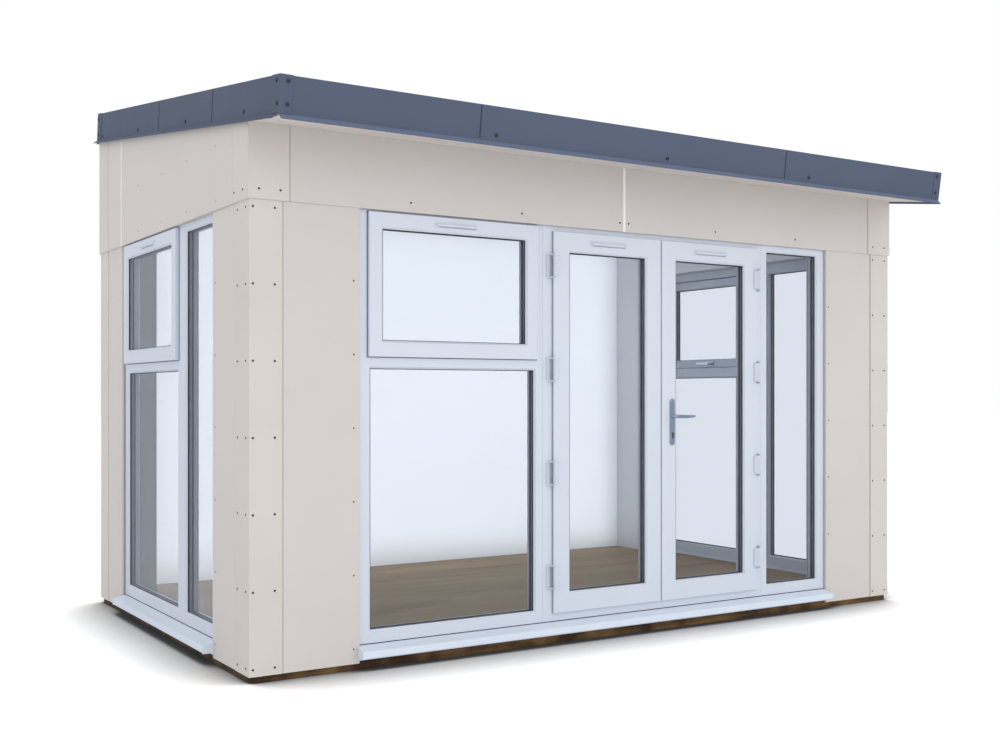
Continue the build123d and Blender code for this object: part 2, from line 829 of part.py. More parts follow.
def frame_half(side):
    """Pin, the lugs at its ends and the screw plate of one hinge, centred on level zero."""
    outward = -1 if side == "left" else 1
    axis_x = hinge_axis_x(side)
    near = axis_x + outward * (barrel_radius + frame_plate_inset)
    pad_y = (frame_face_y - frame_plate, frame_face_y)
    bottom = -hinge_height / 2
    with BuildPart() as half:
        with BuildSketch(Plane.XY.offset(bottom)) as plate:
            rect(*sorted((near, near + outward * frame_plate_width)), *pad_y)
        extrude(plate.sketch, amount=hinge_height)
        for lug_bottom in (bottom, -bottom - lug_height):
            pad_x = (near, near + outward * frame_plate_width / 2)
            knuckle(axis_x, pad_x, pad_y, lug_bottom, lug_bottom + lug_height)
        with BuildSketch(Plane.XY.offset(bottom)) as pin:
            with Locations((axis_x, axis_y)):
                Circle(pin_radius)
        extrude(pin.sketch, amount=hinge_height)
    return half


hinge_low = doorway_flange[2] + hinge_bottom_inset
hinge_high = doorway_flange[3] - hinge_top_inset
hinge_step = (hinge_high - hinge_low) / (hinge_count - 1)
hinge_places = [(0, 0, hinge_low + hinge_step * i) for i in range(hinge_count)]

for side in leaf_edges:
    one_half = leaf_half(side)
    with BuildPart() as door_hinges:
        with Locations(*hinge_places):
            add(one_half.part)
    keep(door_hinges, side + "_door_hinges")

with BuildPart() as frame_hinges:
    for side in leaf_edges:
        one_half = frame_half(side)
        with Locations(*hinge_places):
            add(one_half.part)
keep(frame_hinges, "frame_hinges")

# ---------------------------------------------------------------- door furniture
backplate_z = handle_level + backplate_above_handle - backplate_height / 2
inner_leaf_y = leaf_face_y + door_depth


def backplate(face_y, outward):
    """Bevelled plate with the bore for the lever's neck and the lock's cut-out; outward is -1 towards the garden."""
    plane = Plane.XZ.offset(-face_y)
    with BuildPart() as plate:
        with BuildSketch(plane):
            with Locations((handle_x, backplate_z)):
                SlotOverall(backplate_height, backplate_width, rotation=90)
        extrude(amount=-outward * backplate_thickness)
        chamfer(plate.faces().sort_by(Axis.Y)[0 if outward < 0 else -1].edges(), backplate_bevel)
        with BuildSketch(plane):
            with Locations((handle_x, handle_level)):
                Circle(neck_radius + neck_clearance)
            cylinder_outline(cylinder_fit)
        extrude(amount=-outward * backplate_thickness, mode=Mode.SUBTRACT)
    return plate


with BuildPart() as handle_backplates:
    add(backplate(leaf_face_y, -1).part)
    add(backplate(inner_leaf_y, 1).part)
keep(handle_backplates, "handle_backplates")

cylinder_front = leaf_face_y - backplate_thickness - cylinder_proud
cylinder_length = door_depth + 2 * (backplate_thickness + cylinder_proud)
with BuildPart() as lock_cylinder:
    with BuildSketch(Plane.XZ.offset(-cylinder_front)):
        cylinder_outline()
    extrude(amount=-cylinder_length)
keep(lock_cylinder, "lock_cylinder")


def lever(face_y, outward):
    """Neck and tapered arm of one lever; outward is -1 towards the garden."""
    neck_start = face_y + outward * neck_gap
    neck_end = face_y + outward * lever_standoff
    with BuildPart() as arm:
        with BuildSketch(Plane.XZ.offset(-neck_end)):
            with Locations((handle_x, handle_level)):
                Circle(lever_root_radius)
            with Locations((handle_x + lever_length / 2, handle_level - lever_belly_drop)):
                Circle(lever_belly_radius)
            with Locations((handle_x + lever_length - lever_tip_radius, handle_level)):
                Circle(lever_tip_radius)
            make_hull()
        extrude(amount=-outward * lever_thickness)
        chamfer(arm.faces().sort_by(Axis.Y)[0 if outward < 0 else -1].edges(), lever_bevel)
        with BuildSketch(Plane.XZ.offset(-neck_start)):
            with Locations((handle_x, handle_level)):
                Circle(neck_radius)
        extrude(amount=-outward * (lever_standoff + lever_thickness / 2 - neck_gap))
    return arm


with BuildPart() as door_lever:
    add(lever(leaf_face_y, -1).part)
    add(lever(inner_leaf_y, 1).part)
    spindle_start = leaf_face_y - neck_gap - spindle_engagement
    with BuildSketch(Plane.XZ.offset(-spindle_start)):
        with Locations((handle_x, handle_level)):
            Rectangle(spindle, spindle)
    extrude(amount=2 * (spindle_start - leaf_face_y) - door_depth)
keep(door_lever, "door_lever")


# ---------------------------------------------------------------- ventilator hoods
def vent(plane, x, z, direction):
    """Base plate with rounded ends and the narrower tapered hood on it."""
    with BuildSketch(plane) as base:
        with Locations((x, z)):
            SlotOverall(vent_length, vent_height)
    extrude(base.sketch, amount=direction * vent_base)
    with BuildSketch(plane.offset(direction * vent_base)) as hood:
        with Locations((x, z)):
            SlotOverall(vent_length - 2 * vent_border, vent_height - 2 * vent_border)
    extrude(hood.sketch, amount=direction * (vent_out - vent_base), taper=vent_taper)


opener_vent_z = front_opener[3] - opener_rail / 2
with BuildPart() as window_vents:
    vent(left_sash_face, sum(side_window_y) / 2, opener_vent_z, -1)
    mirror(about=Plane.YZ)
    vent(front_sash_face, sum(window_x) / 2, opener_vent_z, 1)
keep(window_vents, "window_vents")

door_vent_z = doorway_flange[3] - door_stile / 2
for side, light in (("left", left_light), ("right", right_light)):
    with BuildPart() as door_vent:
        vent(door_face, (light[0] + light[1]) / 2, door_vent_z, 1)
    keep(door_vent, side + "_door_vent")


# ---------------------------------------------------------------- sills
def sill_profile():
    """Sill section in the YZ plane, with y running inwards from the face line."""
    back = frame_recess + frame_depth
    underside = frame_bottom - sill_drop
    outline(
        (back, floor_level),
        (back, frame_bottom),
        (frame_recess, frame_bottom),
        (-sill_nose_out, frame_bottom - sill_fall),
        (-sill_nose_out, underside),
        (wall_line - sill_foot_width, underside),
        (wall_line - sill_foot_width, underside - sill_foot_height),
        (wall_line, underside - sill_foot_height),
        (wall_line, floor_level),
    )


def sill(span):
    """Sill along X, centred on its opening, with a rounded nose and a cap on each horn."""
    end = span / 2 + sill_horn
    with BuildPart() as board:
        with BuildSketch(Plane.YZ.offset(-end)):
            sill_profile()
        extrude(amount=2 * end)
        fillet(board.edges().filter_by(Axis.X).group_by(Axis.Y)[0], sill_nose_round)
        for cap_x in (-end, end - sill_cap):
            with BuildSketch(Plane.YZ.offset(cap_x)):
                sill_profile()
                offset(amount=sill_cap_proud)
            extrude(amount=sill_cap)
        for horn_x in (-span / 2 - sill_horn / 2, span / 2 + sill_horn / 2):
            with BuildSketch(Plane.XY):
                with Locations((horn_x, trim_sheet + frame_depth)):
                    Rectangle(sill_horn, 2 * frame_depth)
            extrude(amount=frame_top, mode=Mode.SUBTRACT)
    return board


front_sill = sill(opening_right - opening_left)
side_sill = sill(opening_rear - opening_front)
with BuildPart() as window_sills:
    with Locations(((opening_left + opening_right) / 2, front, 0)):
        add(front_sill.part)
    for face_x, turn in ((left, -90), (right, 90)):
        with Locations((face_x, (opening_front + opening_rear) / 2, 0)):
            add(side_sill.part, rotation=(0, 0, turn))
keep(window_sills, "window_sills")

# ---------------------------------------------------------------- files
os.makedirs("parts", exist_ok=True)
for name, piece in pieces.items():
    piece.label = name
    export_step(piece, f"parts/{name}.step")
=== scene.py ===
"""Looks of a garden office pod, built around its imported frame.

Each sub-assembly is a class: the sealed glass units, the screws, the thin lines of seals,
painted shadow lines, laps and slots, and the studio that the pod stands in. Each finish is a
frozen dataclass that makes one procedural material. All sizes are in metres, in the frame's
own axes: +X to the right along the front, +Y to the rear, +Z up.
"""

from __future__ import annotations

import logging
import math
from collections.abc import Callable, Iterable, Sequence
from dataclasses import dataclass, field
from enum import Enum

import bmesh
import bpy
from mathutils import Matrix, Vector

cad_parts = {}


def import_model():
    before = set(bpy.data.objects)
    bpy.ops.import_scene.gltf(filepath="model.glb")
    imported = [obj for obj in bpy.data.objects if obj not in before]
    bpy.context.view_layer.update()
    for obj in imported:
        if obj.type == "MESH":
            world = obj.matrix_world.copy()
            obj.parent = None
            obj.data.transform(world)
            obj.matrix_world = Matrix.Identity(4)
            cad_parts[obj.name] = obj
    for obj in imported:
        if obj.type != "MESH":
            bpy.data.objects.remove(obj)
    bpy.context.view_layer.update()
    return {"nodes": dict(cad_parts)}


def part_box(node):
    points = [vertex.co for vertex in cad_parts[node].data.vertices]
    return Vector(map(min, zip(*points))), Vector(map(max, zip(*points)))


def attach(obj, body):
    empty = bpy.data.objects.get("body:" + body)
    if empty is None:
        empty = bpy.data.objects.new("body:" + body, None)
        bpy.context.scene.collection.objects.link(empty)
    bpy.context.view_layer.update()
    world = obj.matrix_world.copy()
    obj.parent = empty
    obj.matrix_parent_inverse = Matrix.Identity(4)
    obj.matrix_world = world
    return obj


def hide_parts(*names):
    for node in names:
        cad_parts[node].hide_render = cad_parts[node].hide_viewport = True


LOG = logging.getLogger("garden_pod")

Colour = tuple[float, float, float]
Box = tuple[Vector, Vector]
Place = tuple[Vector, Vector]
Inputs = dict[str | int, object]
Socket = bpy.types.NodeSocket
WHITE: Colour = (1.0, 1.0, 1.0)


# ---------------------------------------------------------------- colours


def paint(red: int, green: int, blue: int) -> Colour:
    """Turns a paint-chart colour into the linear values that shaders take.

    Args:
        red: Red, from 0 to 255, as on a chart.
        green: Green, from 0 to 255.
        blue: Blue, from 0 to 255.

    Returns:
        The linear red, green and blue.
    """

    def linear(level: int) -> float:
        """One channel, from the chart's curve to linear light."""
        share = level / 255
        if share <= 0.04045:
            return share / 12.92
        return ((share + 0.055) / 1.055) ** 2.4

    return linear(red), linear(green), linear(blue)


def tinted(colour: Colour, factor: float = 1.0) -> tuple[float, float, float, float]:
    """A shade of a colour, as the four values of a colour socket.

    Args:
        colour: The linear colour.
        factor: How much lighter or darker, 1 being unchanged.

    Returns:
        Red, green, blue and an alpha of 1.
    """
    return colour[0] * factor, colour[1] * factor, colour[2] * factor, 1.0


# ---------------------------------------------------------------- node wiring


class Wiring:
    """A node tree that is being laid out."""

    def __init__(self, tree: bpy.types.NodeTree) -> None:
        """Starts from a tree.

        Args:
            tree: The material's, world's or group's node tree.
        """
        self.tree = tree

    @classmethod
    def bare(cls, owner: bpy.types.Material | bpy.types.World) -> Wiring:
        """Empties the node tree of a new material or world.

        Args:
            owner: The material or world.

        Returns:
            Its wiring.
        """
        owner.use_nodes = True
        owner.node_tree.nodes.clear()
        return cls(owner.node_tree)

    def add(self, kind: str, inputs: Inputs | None = None, **settings: object) -> bpy.types.Node:
        """Adds a node.

        Args:
            kind: The node's type name.
            inputs: Values by input name or number. A socket given as a value is linked.
            **settings: The node's own settings.

        Returns:
            The new node.
        """
        node = self.tree.nodes.new(kind)
        for name, value in settings.items():
            setattr(node, name, value)
        for key, value in (inputs or {}).items():
            if isinstance(value, Socket):
                self.tree.links.new(value, node.inputs[key])
            else:
                node.inputs[key].default_value = value
        return node

    def coordinates(self, kind: str) -> Socket:
        """Texture coordinates.

        Args:
            kind: Object, Normal or Generated.

        Returns:
            Their socket.
        """
        return self.add("ShaderNodeTexCoord").outputs[kind]

    def noise(
        self,
        place: Socket,
        scale: object,
        detail: float = 2.0,
        roughness: float = 0.5,
        distortion: float = 0.0,
    ) -> Socket:
        """A noise pattern.

        Args:
            place: The coordinates that it lies on.
            scale: Its scale, a number or a socket.
            detail: How many finer layers it has.
            roughness: How strong the finer layers are.
            distortion: How far it is drawn out of shape.

        Returns:
            The pattern's value.
        """
        keys = ("Vector", "Scale", "Detail", "Roughness", "Distortion")
        values = dict(zip(keys, (place, scale, detail, roughness, distortion)))
        return self.add("ShaderNodeTexNoise", values).outputs["Fac"]

    def blend(self, factor: object, first: object, second: object) -> Socket:
        """Mixes two colours.

        Args:
            factor: The share of the second colour, a number or a socket.
            first: A colour or a socket.
            second: A colour or a socket.

        Returns:
            The mixed colour's socket.
        """
        node = self.add("ShaderNodeMix", {0: factor, 6: first, 7: second}, data_type="RGBA")
        return node.outputs[2]

    def span(
        self, value: Socket, low: float, high: float, to_low: float = 0.0, to_high: float = 1.0
    ) -> Socket:
        """Maps a value from one range to another, held inside it.

        Args:
            value: The socket that is mapped.
            low: The range's start.
            high: The range's end.
            to_low: What low becomes.
            to_high: What high becomes.

        Returns:
            The mapped value's socket.
        """
        keys = ("Value", "From Min", "From Max", "To Min", "To Max")
        values = dict(zip(keys, (value, low, high, to_low, to_high)))
        return self.add("ShaderNodeMapRange", values).outputs["Result"]

    def sum(self, operation: str, first: object, second: object) -> Socket:
        """Joins two values with a Math node.

        Args:
            operation: The Math node's operation.
            first: A number or a socket.
            second: A number or a socket.

        Returns:
            The result's socket.
        """
        return self.add("ShaderNodeMath", {0: first, 1: second}, operation=operation).outputs[0]

    def vector(self, operation: str, first: Socket, second: object) -> Socket:
        """Joins two vectors with a Vector Math node.

        Args:
            operation: MULTIPLY or DOT_PRODUCT.
            first: A vector's socket.
            second: A vector or a socket.

        Returns:
            The result's socket, a value for DOT_PRODUCT.
        """
        node = self.add("ShaderNodeVectorMath", {0: first, 1: second}, operation=operation)
        return node.outputs["Value" if operation == "DOT_PRODUCT" else "Vector"]

    def shared(self, share: Socket, first: Socket, second: Socket) -> Socket:
        """Mixes two shaders.

        Args:
            share: The share of the second shader.
            first: A shader's socket.
            second: A shader's socket.

        Returns:
            The mixed shader's socket.
        """
        return self.add("ShaderNodeMixShader", {0: share, 1: first, 2: second}).outputs[0]


class Effect(Enum):
    """The effects that several finishes share, each one node group."""

    SOFT_EDGE = "soft_edge"
    FINE_FLECK = "fine_fleck"
    LONG_GRAIN = "long_grain"
    FAINT_MARKS = "faint_marks"


class EffectShelf:
    """Builds each shared node group the first time that a finish asks for it."""

    def __init__(self) -> None:
        """Starts with no group built."""
        self._built: dict[Effect, bpy.types.NodeTree] = {}
        self._makers: dict[Effect, Callable[[], bpy.types.NodeTree]] = {
            Effect.SOFT_EDGE: self._soft_edge,
            Effect.FINE_FLECK: self._fine_fleck,
            Effect.LONG_GRAIN: self._long_grain,
            Effect.FAINT_MARKS: self._faint_marks,
        }

    def place(self, wiring: Wiring, effect: Effect, values: Inputs) -> bpy.types.NodeOutputs:
        """Puts an effect into a material.

        Args:
            wiring: The material's wiring.
            effect: Which effect.
            values: The group's inputs for this material.

        Returns:
            The group node's outputs.
        """
        if effect not in self._built:
            self._built[effect] = self._makers[effect]()
        return wiring.add("ShaderNodeGroup", values, node_tree=self._built[effect]).outputs

    @staticmethod
    def _group(
        effect: Effect, inputs: dict[str, float | Colour], outputs: Sequence[str]
    ) -> tuple[Wiring, bpy.types.NodeOutputs]:
        """Starts a group with its sockets.

        Args:
            effect: The effect that it is for.
            inputs: Each input's first value, by name. Three numbers make a vector.
            outputs: The outputs' names. Normal is a vector, and the others are values.

        Returns:
            The group's wiring and the sockets of its inputs.
        """
        tree = bpy.data.node_groups.new(effect.value, "ShaderNodeTree")
        sockets = tree.interface
        for name, value in inputs.items():
            kind = "NodeSocketVector" if isinstance(value, tuple) else "NodeSocketFloat"
            socket = sockets.new_socket(name=name, in_out="INPUT", socket_type=kind)
            socket.default_value = value
        for name in outputs:
            kind = "NodeSocketVector" if name == "Normal" else "NodeSocketFloat"
            sockets.new_socket(name=name, in_out="OUTPUT", socket_type=kind)
        wiring = Wiring(tree)
        return wiring, wiring.add("NodeGroupInput").outputs

    def _soft_edge(self) -> bpy.types.NodeTree:
        """Rounds sharp edges in the shading, and marks them. Returns the group's tree."""
        wiring, given = self._group(Effect.SOFT_EDGE, {"Radius": 0.001}, ("Normal", "Edge"))
        bevel = wiring.add("ShaderNodeBevel", {"Radius": given["Radius"]}, samples=4)
        rounded = bevel.outputs["Normal"]
        surface = wiring.add("ShaderNodeNewGeometry").outputs["Normal"]
        edge = wiring.span(wiring.vector("DOT_PRODUCT", rounded, surface), 0.995, 0.75)
        wiring.add("NodeGroupOutput", {"Normal": rounded, "Edge": edge})
        return wiring.tree

    def _fine_fleck(self) -> bpy.types.NodeTree:
        """Grit of two sizes with a slow mottle, as on a sprayed coat. Returns the tree."""
        wiring, given = self._group(
            Effect.FINE_FLECK, {"Grit": 400.0, "Mottle": 3.0}, ("Fleck", "Cloud", "Height")
        )
        place = wiring.coordinates("Object")
        fleck = wiring.span(wiring.noise(place, given["Grit"], 3.0, 0.6), 0.35, 0.65)
        spots = wiring.add("ShaderNodeTexVoronoi", {"Vector": place, "Scale": given["Grit"]})
        bumps = wiring.span(spots.outputs["Distance"], 0.0, 0.7, 1.0, 0.0)
        cloud = wiring.span(wiring.noise(place, given["Mottle"], 4.0, 0.55), 0.3, 0.7)
        height = wiring.sum("MULTIPLY", fleck, bumps)
        wiring.add("NodeGroupOutput", {"Fleck": fleck, "Cloud": cloud, "Height": height})
        return wiring.tree

    def _long_grain(self) -> bpy.types.NodeTree:
        """Wood grain, stretched along the timber by the Stretch input. Returns the tree."""
        wiring, given = self._group(
            Effect.LONG_GRAIN, {"Stretch": (1.0, 12.0, 12.0)}, ("Grain", "Figure", "Height")
        )
        along = wiring.vector("MULTIPLY", wiring.coordinates("Object"), given["Stretch"])
        figure = wiring.noise(along, 0.9, 3.0, 0.5, 0.6)
        pores = wiring.noise(along, 14.0, 4.0, 0.65)
        bands = wiring.sum("PINGPONG", wiring.sum("MULTIPLY", figure, 9.0), 1.0)
        banded = wiring.sum("MULTIPLY", bands, 0.45)
        grain = wiring.sum("ADD", banded, wiring.sum("MULTIPLY", pores, 0.55))
        shown = wiring.span(figure, 0.3, 0.7)
        wiring.add("NodeGroupOutput", {"Grain": grain, "Figure": shown, "Height": pores})
        return wiring.tree

    def _faint_marks(self) -> bpy.types.NodeTree:
        """Handling marks: slow smears crossed by hairline rubs. Returns the group's tree."""
        wiring, given = self._group(Effect.FAINT_MARKS, {"Size": 6.0}, ("Smear", "Rub"))
        place = wiring.coordinates("Object")
        smear = wiring.span(wiring.noise(place, given["Size"], 2.0, 0.4), 0.2, 0.8)
        rub = wiring.noise(place, wiring.sum("MULTIPLY", given["Size"], 40.0))
        wiring.add("NodeGroupOutput", {"Smear": smear, "Rub": rub})
        return wiring.tree


EFFECTS = EffectShelf()


# ---------------------------------------------------------------- finishes


@dataclass(frozen=True)
class Finish:
    """A plain finish: one colour with soft edges. Other finishes build on it."""

    name: str
    colour: Colour
    roughness: float
    edge_radius: float = 0.0012
    sheen_level: float = 0.5

    def material(self) -> bpy.types.Material:
        """The finish as a material, made the first time that it is asked for.

        Returns:
            The material.
        """
        found = bpy.data.materials.get(self.name)
        if found is not None:
            return found
        material = bpy.data.materials.new(self.name)
        wiring = Wiring.bare(material)
        inputs: Inputs = {
            "Base Color": self.shade(),
            "Roughness": self.roughness,
            "Specular IOR Level": self.sheen_level,
        }
        shader = wiring.add("ShaderNodeBsdfPrincipled", inputs | self.look(wiring))
        surface = self.surface(wiring, shader.outputs["BSDF"])
        wiring.add("ShaderNodeOutputMaterial", {"Surface": surface})
        return material

    def look(self, wiring: Wiring) -> Inputs:
        """Lays out what makes this finish more than one colour.

        Args:
            wiring: The material's wiring.

        Returns:
            The inputs that the Principled shader takes.
        """
        return {"Normal": self.relief(wiring)[1]}

    def surface(self, wiring: Wiring, shader: Socket) -> Socket:
        """The surface that the material ends in.

        Args:
            wiring: The material's wiring.
            shader: The Principled shader's socket.

        Returns:
            The surface's socket.
        """
        return shader

    def shade(self, factor: float = 1.0) -> tuple[float, float, float, float]:
        """The finish's colour, lighter or darker. See tinted."""
        return tinted(self.colour, factor)

    def shift(self, wiring: Wiring, mask: Socket, change: float) -> Socket:
        """The finish's colour, made darker where a mask is 0 and lighter where it is 1.

        Args:
            wiring: The material's wiring.
            mask: The mask.
            change: How much darker and lighter.

        Returns:
            The colour's socket.
        """
        return wiring.blend(mask, self.shade(1.0 - change), self.shade(1.0 + change))

    def gloss(self, wiring: Wiring, mask: Socket, at_0: float, at_1: float) -> Socket:
        """The finish's roughness, changed by a mask.

        Args:
            wiring: The material's wiring.
            mask: The mask.
            at_0: What is added where the mask is 0.
            at_1: What is added where the mask is 1.

        Returns:
            The roughness's socket.
        """
        return wiring.span(mask, 0.0, 1.0, self.roughness + at_0, self.roughness + at_1)

    def relief(
        self, wiring: Wiring, height: Socket | None = None, depth: float = 0.0
    ) -> tuple[Socket, Socket]:
        """Softens the edges and adds a fine relief.

        Args:
            wiring: The material's wiring.
            height: The relief's height, from 0 to 1, or None for a smooth surface.
            depth: How deep the relief is.

        Returns:
            The mask of the edges, and the normal.
        """
        edge = EFFECTS.place(wiring, Effect.SOFT_EDGE, {"Radius": self.edge_radius})
        normal = edge["Normal"]
        if height is not None:
            inputs = {"Strength": 1.0, "Distance": depth, "Height": height, "Normal": normal}
            normal = wiring.add("ShaderNodeBump", inputs).outputs["Normal"]
        return edge["Edge"], normal


@dataclass(frozen=True)
class RenderBoard(Finish):
    """Matt cement-faced board with a fine sprayed fleck."""

    grit: float = 420.0
    mottle: float = 2.2
    depth: float = 0.00022
    cloud_change: float = 0.015
    speck_share: float = 0.16
    speck_shade: float = 0.74
    worn_share: float = 0.35
    worn_shade: float = 1.12
    fleck_gloss: float = -0.1

    def look(self, wiring: Wiring) -> Inputs:
        """Adds the fleck, a slow mottle and paler rubbed edges. See Finish.look."""
        sizes = {"Grit": self.grit, "Mottle": self.mottle}
        fleck = EFFECTS.place(wiring, Effect.FINE_FLECK, sizes)
        edge, normal = self.relief(wiring, fleck["Height"], self.depth)
        cloud = self.shift(wiring, fleck["Cloud"], self.cloud_change)
        speck = wiring.span(fleck["Fleck"], 0.0, 0.35, self.speck_share, 0.0)
        flecked = wiring.blend(speck, cloud, self.shade(self.speck_shade))
        worn = wiring.sum("MULTIPLY", edge, self.worn_share)
        return {
            "Base Color": wiring.blend(worn, flecked, self.shade(self.worn_shade)),
            "Roughness": self.gloss(wiring, fleck["Fleck"], 0.0, self.fleck_gloss),
            "Normal": normal,
        }


@dataclass(frozen=True)
class CoatedSheet(Finish):
    """Factory-coated sheet metal: a faint orange-peel coat, its folds lighter from rubbing and a
    painted highlight.
    """

    peel: float = 260.0
    mottle: float = 1.6
    mark_size: float = 3.5
    depth: float = 0.00005
    cloud_change: float = 0.03
    # How much lighter the folds are painted: rubbed wear and a painted highlight.
    edge_rub_and_highlight: float = 1.2
    # How much lighter the drip kick is painted: a painted highlight, as if lit from the floor.
    kick_highlight: float = 1.0
    kick_facing: tuple[float, float, float] = (0.0, -0.73, 0.69)

    def look(self, wiring: Wiring) -> Inputs:
        """Adds the orange peel, faint smears, lighter folds and a painted highlight on the kick.
        See Finish.look.
        """
        sizes = {"Grit": self.peel, "Mottle": self.mottle}
        fleck = EFFECTS.place(wiring, Effect.FINE_FLECK, sizes)
        marks = EFFECTS.place(wiring, Effect.FAINT_MARKS, {"Size": self.mark_size})
        edge, normal = self.relief(wiring, fleck["Height"], self.depth)
        cloud = self.shift(wiring, fleck["Cloud"], self.cloud_change)
        # Painted highlight: the folds and edges are made lighter, partly as rubbed wear.
        shown = wiring.blend(edge, cloud, self.shade(self.edge_rub_and_highlight))
        # Painted highlight: the faces that look like the drip kick are made lighter.
        if self.kick_highlight != 1.0:
            face = wiring.coordinates("Normal")
            kick = wiring.span(wiring.vector("DOT_PRODUCT", face, self.kick_facing), 0.90, 0.96)
            shown = wiring.blend(kick, shown, self.shade(self.kick_highlight))
        roughness = self.gloss(wiring, marks["Smear"], -0.04, 0.05)
        return {"Base Color": shown, "Roughness": roughness, "Normal": normal}


@dataclass(frozen=True)
class MouldedPlastic(Finish):
    """Smooth extruded or moulded plastic, or rubber where it is dark and matt."""

    mark_size: float = 5.0
    mark_depth: float = 0.000012
    variation: float = 0.01

    def look(self, wiring: Wiring) -> Inputs:
        """Adds a slow shift in colour and handling marks in its gloss. See Finish.look."""
        marks = EFFECTS.place(wiring, Effect.FAINT_MARKS, {"Size": self.mark_size})
        return {
            "Base Color": self.shift(wiring, marks["Smear"], self.variation),
            "Roughness": self.gloss(wiring, marks["Smear"], -0.02, 0.04),
            "Normal": self.relief(wiring, marks["Rub"], self.mark_depth)[1],
        }


@dataclass(frozen=True)
class SawnTimber(Finish):
    """Stained sawn softwood, with its grain along the timber."""

    stretch: tuple[float, float, float] = (1.0, 14.0, 14.0)
    stain: Colour = (0.050, 0.022, 0.010)
    patch_size: float = 7.0
    depth: float = 0.0006
    pore_shade: float = 0.5
    worn_share: float = 0.3
    worn_shade: float = 2.2

    def look(self, wiring: Wiring) -> Inputs:
        """Adds grain, open pores and a paler worn arris. See Finish.look."""
        wood = EFFECTS.place(wiring, Effect.LONG_GRAIN, {"Stretch": self.stretch})
        marks = EFFECTS.place(wiring, Effect.FAINT_MARKS, {"Size": self.patch_size})
        edge, normal = self.relief(wiring, wood["Grain"], self.depth)
        patches = wiring.span(marks["Smear"], 0.3, 0.7)
        patched = wiring.blend(patches, tinted(self.stain), self.shade())
        pores = wiring.span(wood["Grain"], 0.2, 0.7, 0.55, 0.0)
        grained = wiring.blend(pores, patched, tinted(self.stain, self.pore_shade))
        worn = wiring.sum("MULTIPLY", edge, self.worn_share)
        shown = wiring.blend(worn, grained, self.shade(self.worn_shade))
        return {"Base Color": shown, "Normal": normal}


@dataclass(frozen=True)
class PlankFloor(Finish):
    """Flooring board under a printed wood pattern of long planks."""

    plank_length: float = 1.2
    plank_width: float = 0.19
    plank_offset: float = 0.37
    seam: float = 0.0012
    plank_shades: tuple[float, float] = (0.84, 1.12)
    seam_shade: float = 0.55
    stretch: tuple[float, float, float] = (0.5, 6.0, 6.0)
    grain_shade: float = 0.6
    figure_shade: float = 1.25
    depth: float = 0.0002

    def look(self, wiring: Wiring) -> Inputs:
        """Adds the planks, each with its own tone, their seams and the grain. See Finish.look."""
        planks = wiring.add(
            "ShaderNodeTexBrick",
            {
                "Vector": wiring.coordinates("Object"),
                "Color1": self.shade(self.plank_shades[0]),
                "Color2": self.shade(self.plank_shades[1]),
                "Mortar": self.shade(self.seam_shade),
                "Scale": 1.0,
                "Mortar Size": self.seam,
                "Mortar Smooth": 0.2,
                "Brick Width": self.plank_length,
                "Row Height": self.plank_width,
            },
            offset=self.plank_offset,
            offset_frequency=2,
        ).outputs
        wood = EFFECTS.place(wiring, Effect.LONG_GRAIN, {"Stretch": self.stretch})
        grain = wiring.span(wood["Grain"], 0.3, 0.7, 0.0, 0.6)
        grained = wiring.blend(grain, planks["Color"], self.shade(self.grain_shade))
        figure = wiring.span(wood["Figure"], 0.3, 0.7, 0.0, 0.5)
        height = wiring.sum("SUBTRACT", wood["Height"], planks["Fac"])
        return {
            "Base Color": wiring.blend(figure, grained, self.shade(self.figure_shade)),
            "Normal": self.relief(wiring, height, self.depth)[1],
        }


@dataclass(frozen=True)
class PlatedMetal(Finish):
    """Bare or plated metal: polished where it is smooth, satin where it is brushed."""

    mark_size: float = 30.0
    mark_depth: float = 0.00001
    variation: float = 0.04

    def look(self, wiring: Wiring) -> Inputs:
        """Makes it metal, with handling marks in its gloss. See Finish.look."""
        marks = EFFECTS.place(wiring, Effect.FAINT_MARKS, {"Size": self.mark_size})
        return {
            "Metallic": 1.0,
            "Base Color": self.shift(wiring, marks["Smear"], self.variation),
            "Roughness": self.gloss(wiring, marks["Smear"], 0.0, 0.08),
            "Normal": self.relief(wiring, marks["Rub"], self.mark_depth)[1],
        }


@dataclass(frozen=True)
class ShadedRevealPanel(MouldedPlastic):
    """White faced wall panel, with painted shade on its cut faces round a window."""

    cut_axis: str = "Y"
    reveal_shade: Colour = (0.20, 0.22, 0.26)

    def look(self, wiring: Wiring) -> Inputs:
        """Darkens the faces that look along the cut axis: painted shade. See Finish.look."""
        inputs = super().look(wiring)
        face = {"Vector": wiring.coordinates("Normal")}
        looks = wiring.add("ShaderNodeSeparateXYZ", face).outputs[self.cut_axis]
        # Painted shade: the reveal faces round the window are darkened as if in shade.
        cut = wiring.span(wiring.sum("ABSOLUTE", looks, 0.0), 0.6, 0.8)
        reveal_shaded = wiring.blend(cut, inputs["Base Color"], tinted(self.reveal_shade))
        return inputs | {"Base Color": reveal_shaded}


@dataclass(frozen=True)
class ClearGlass(Finish):
    """Float glass that lets lamps through to what is behind it."""

    index: float = 1.12
    lamp_tint: Colour = (0.85, 0.86, 0.88)

    def look(self, wiring: Wiring) -> Inputs:
        """Makes it glass. See Finish.look."""
        return {"Transmission Weight": 1.0, "IOR": self.index}

    def surface(self, wiring: Wiring, shader: Socket) -> Socket:
        """Makes it clear to rays from lamps. See Finish.surface."""
        clear = wiring.add("ShaderNodeBsdfTransparent", {"Color": tinted(self.lamp_tint)})
        lamp_ray = wiring.add("ShaderNodeLightPath").outputs["Is Shadow Ray"]
        return wiring.shared(lamp_ray, shader, clear.outputs[0])


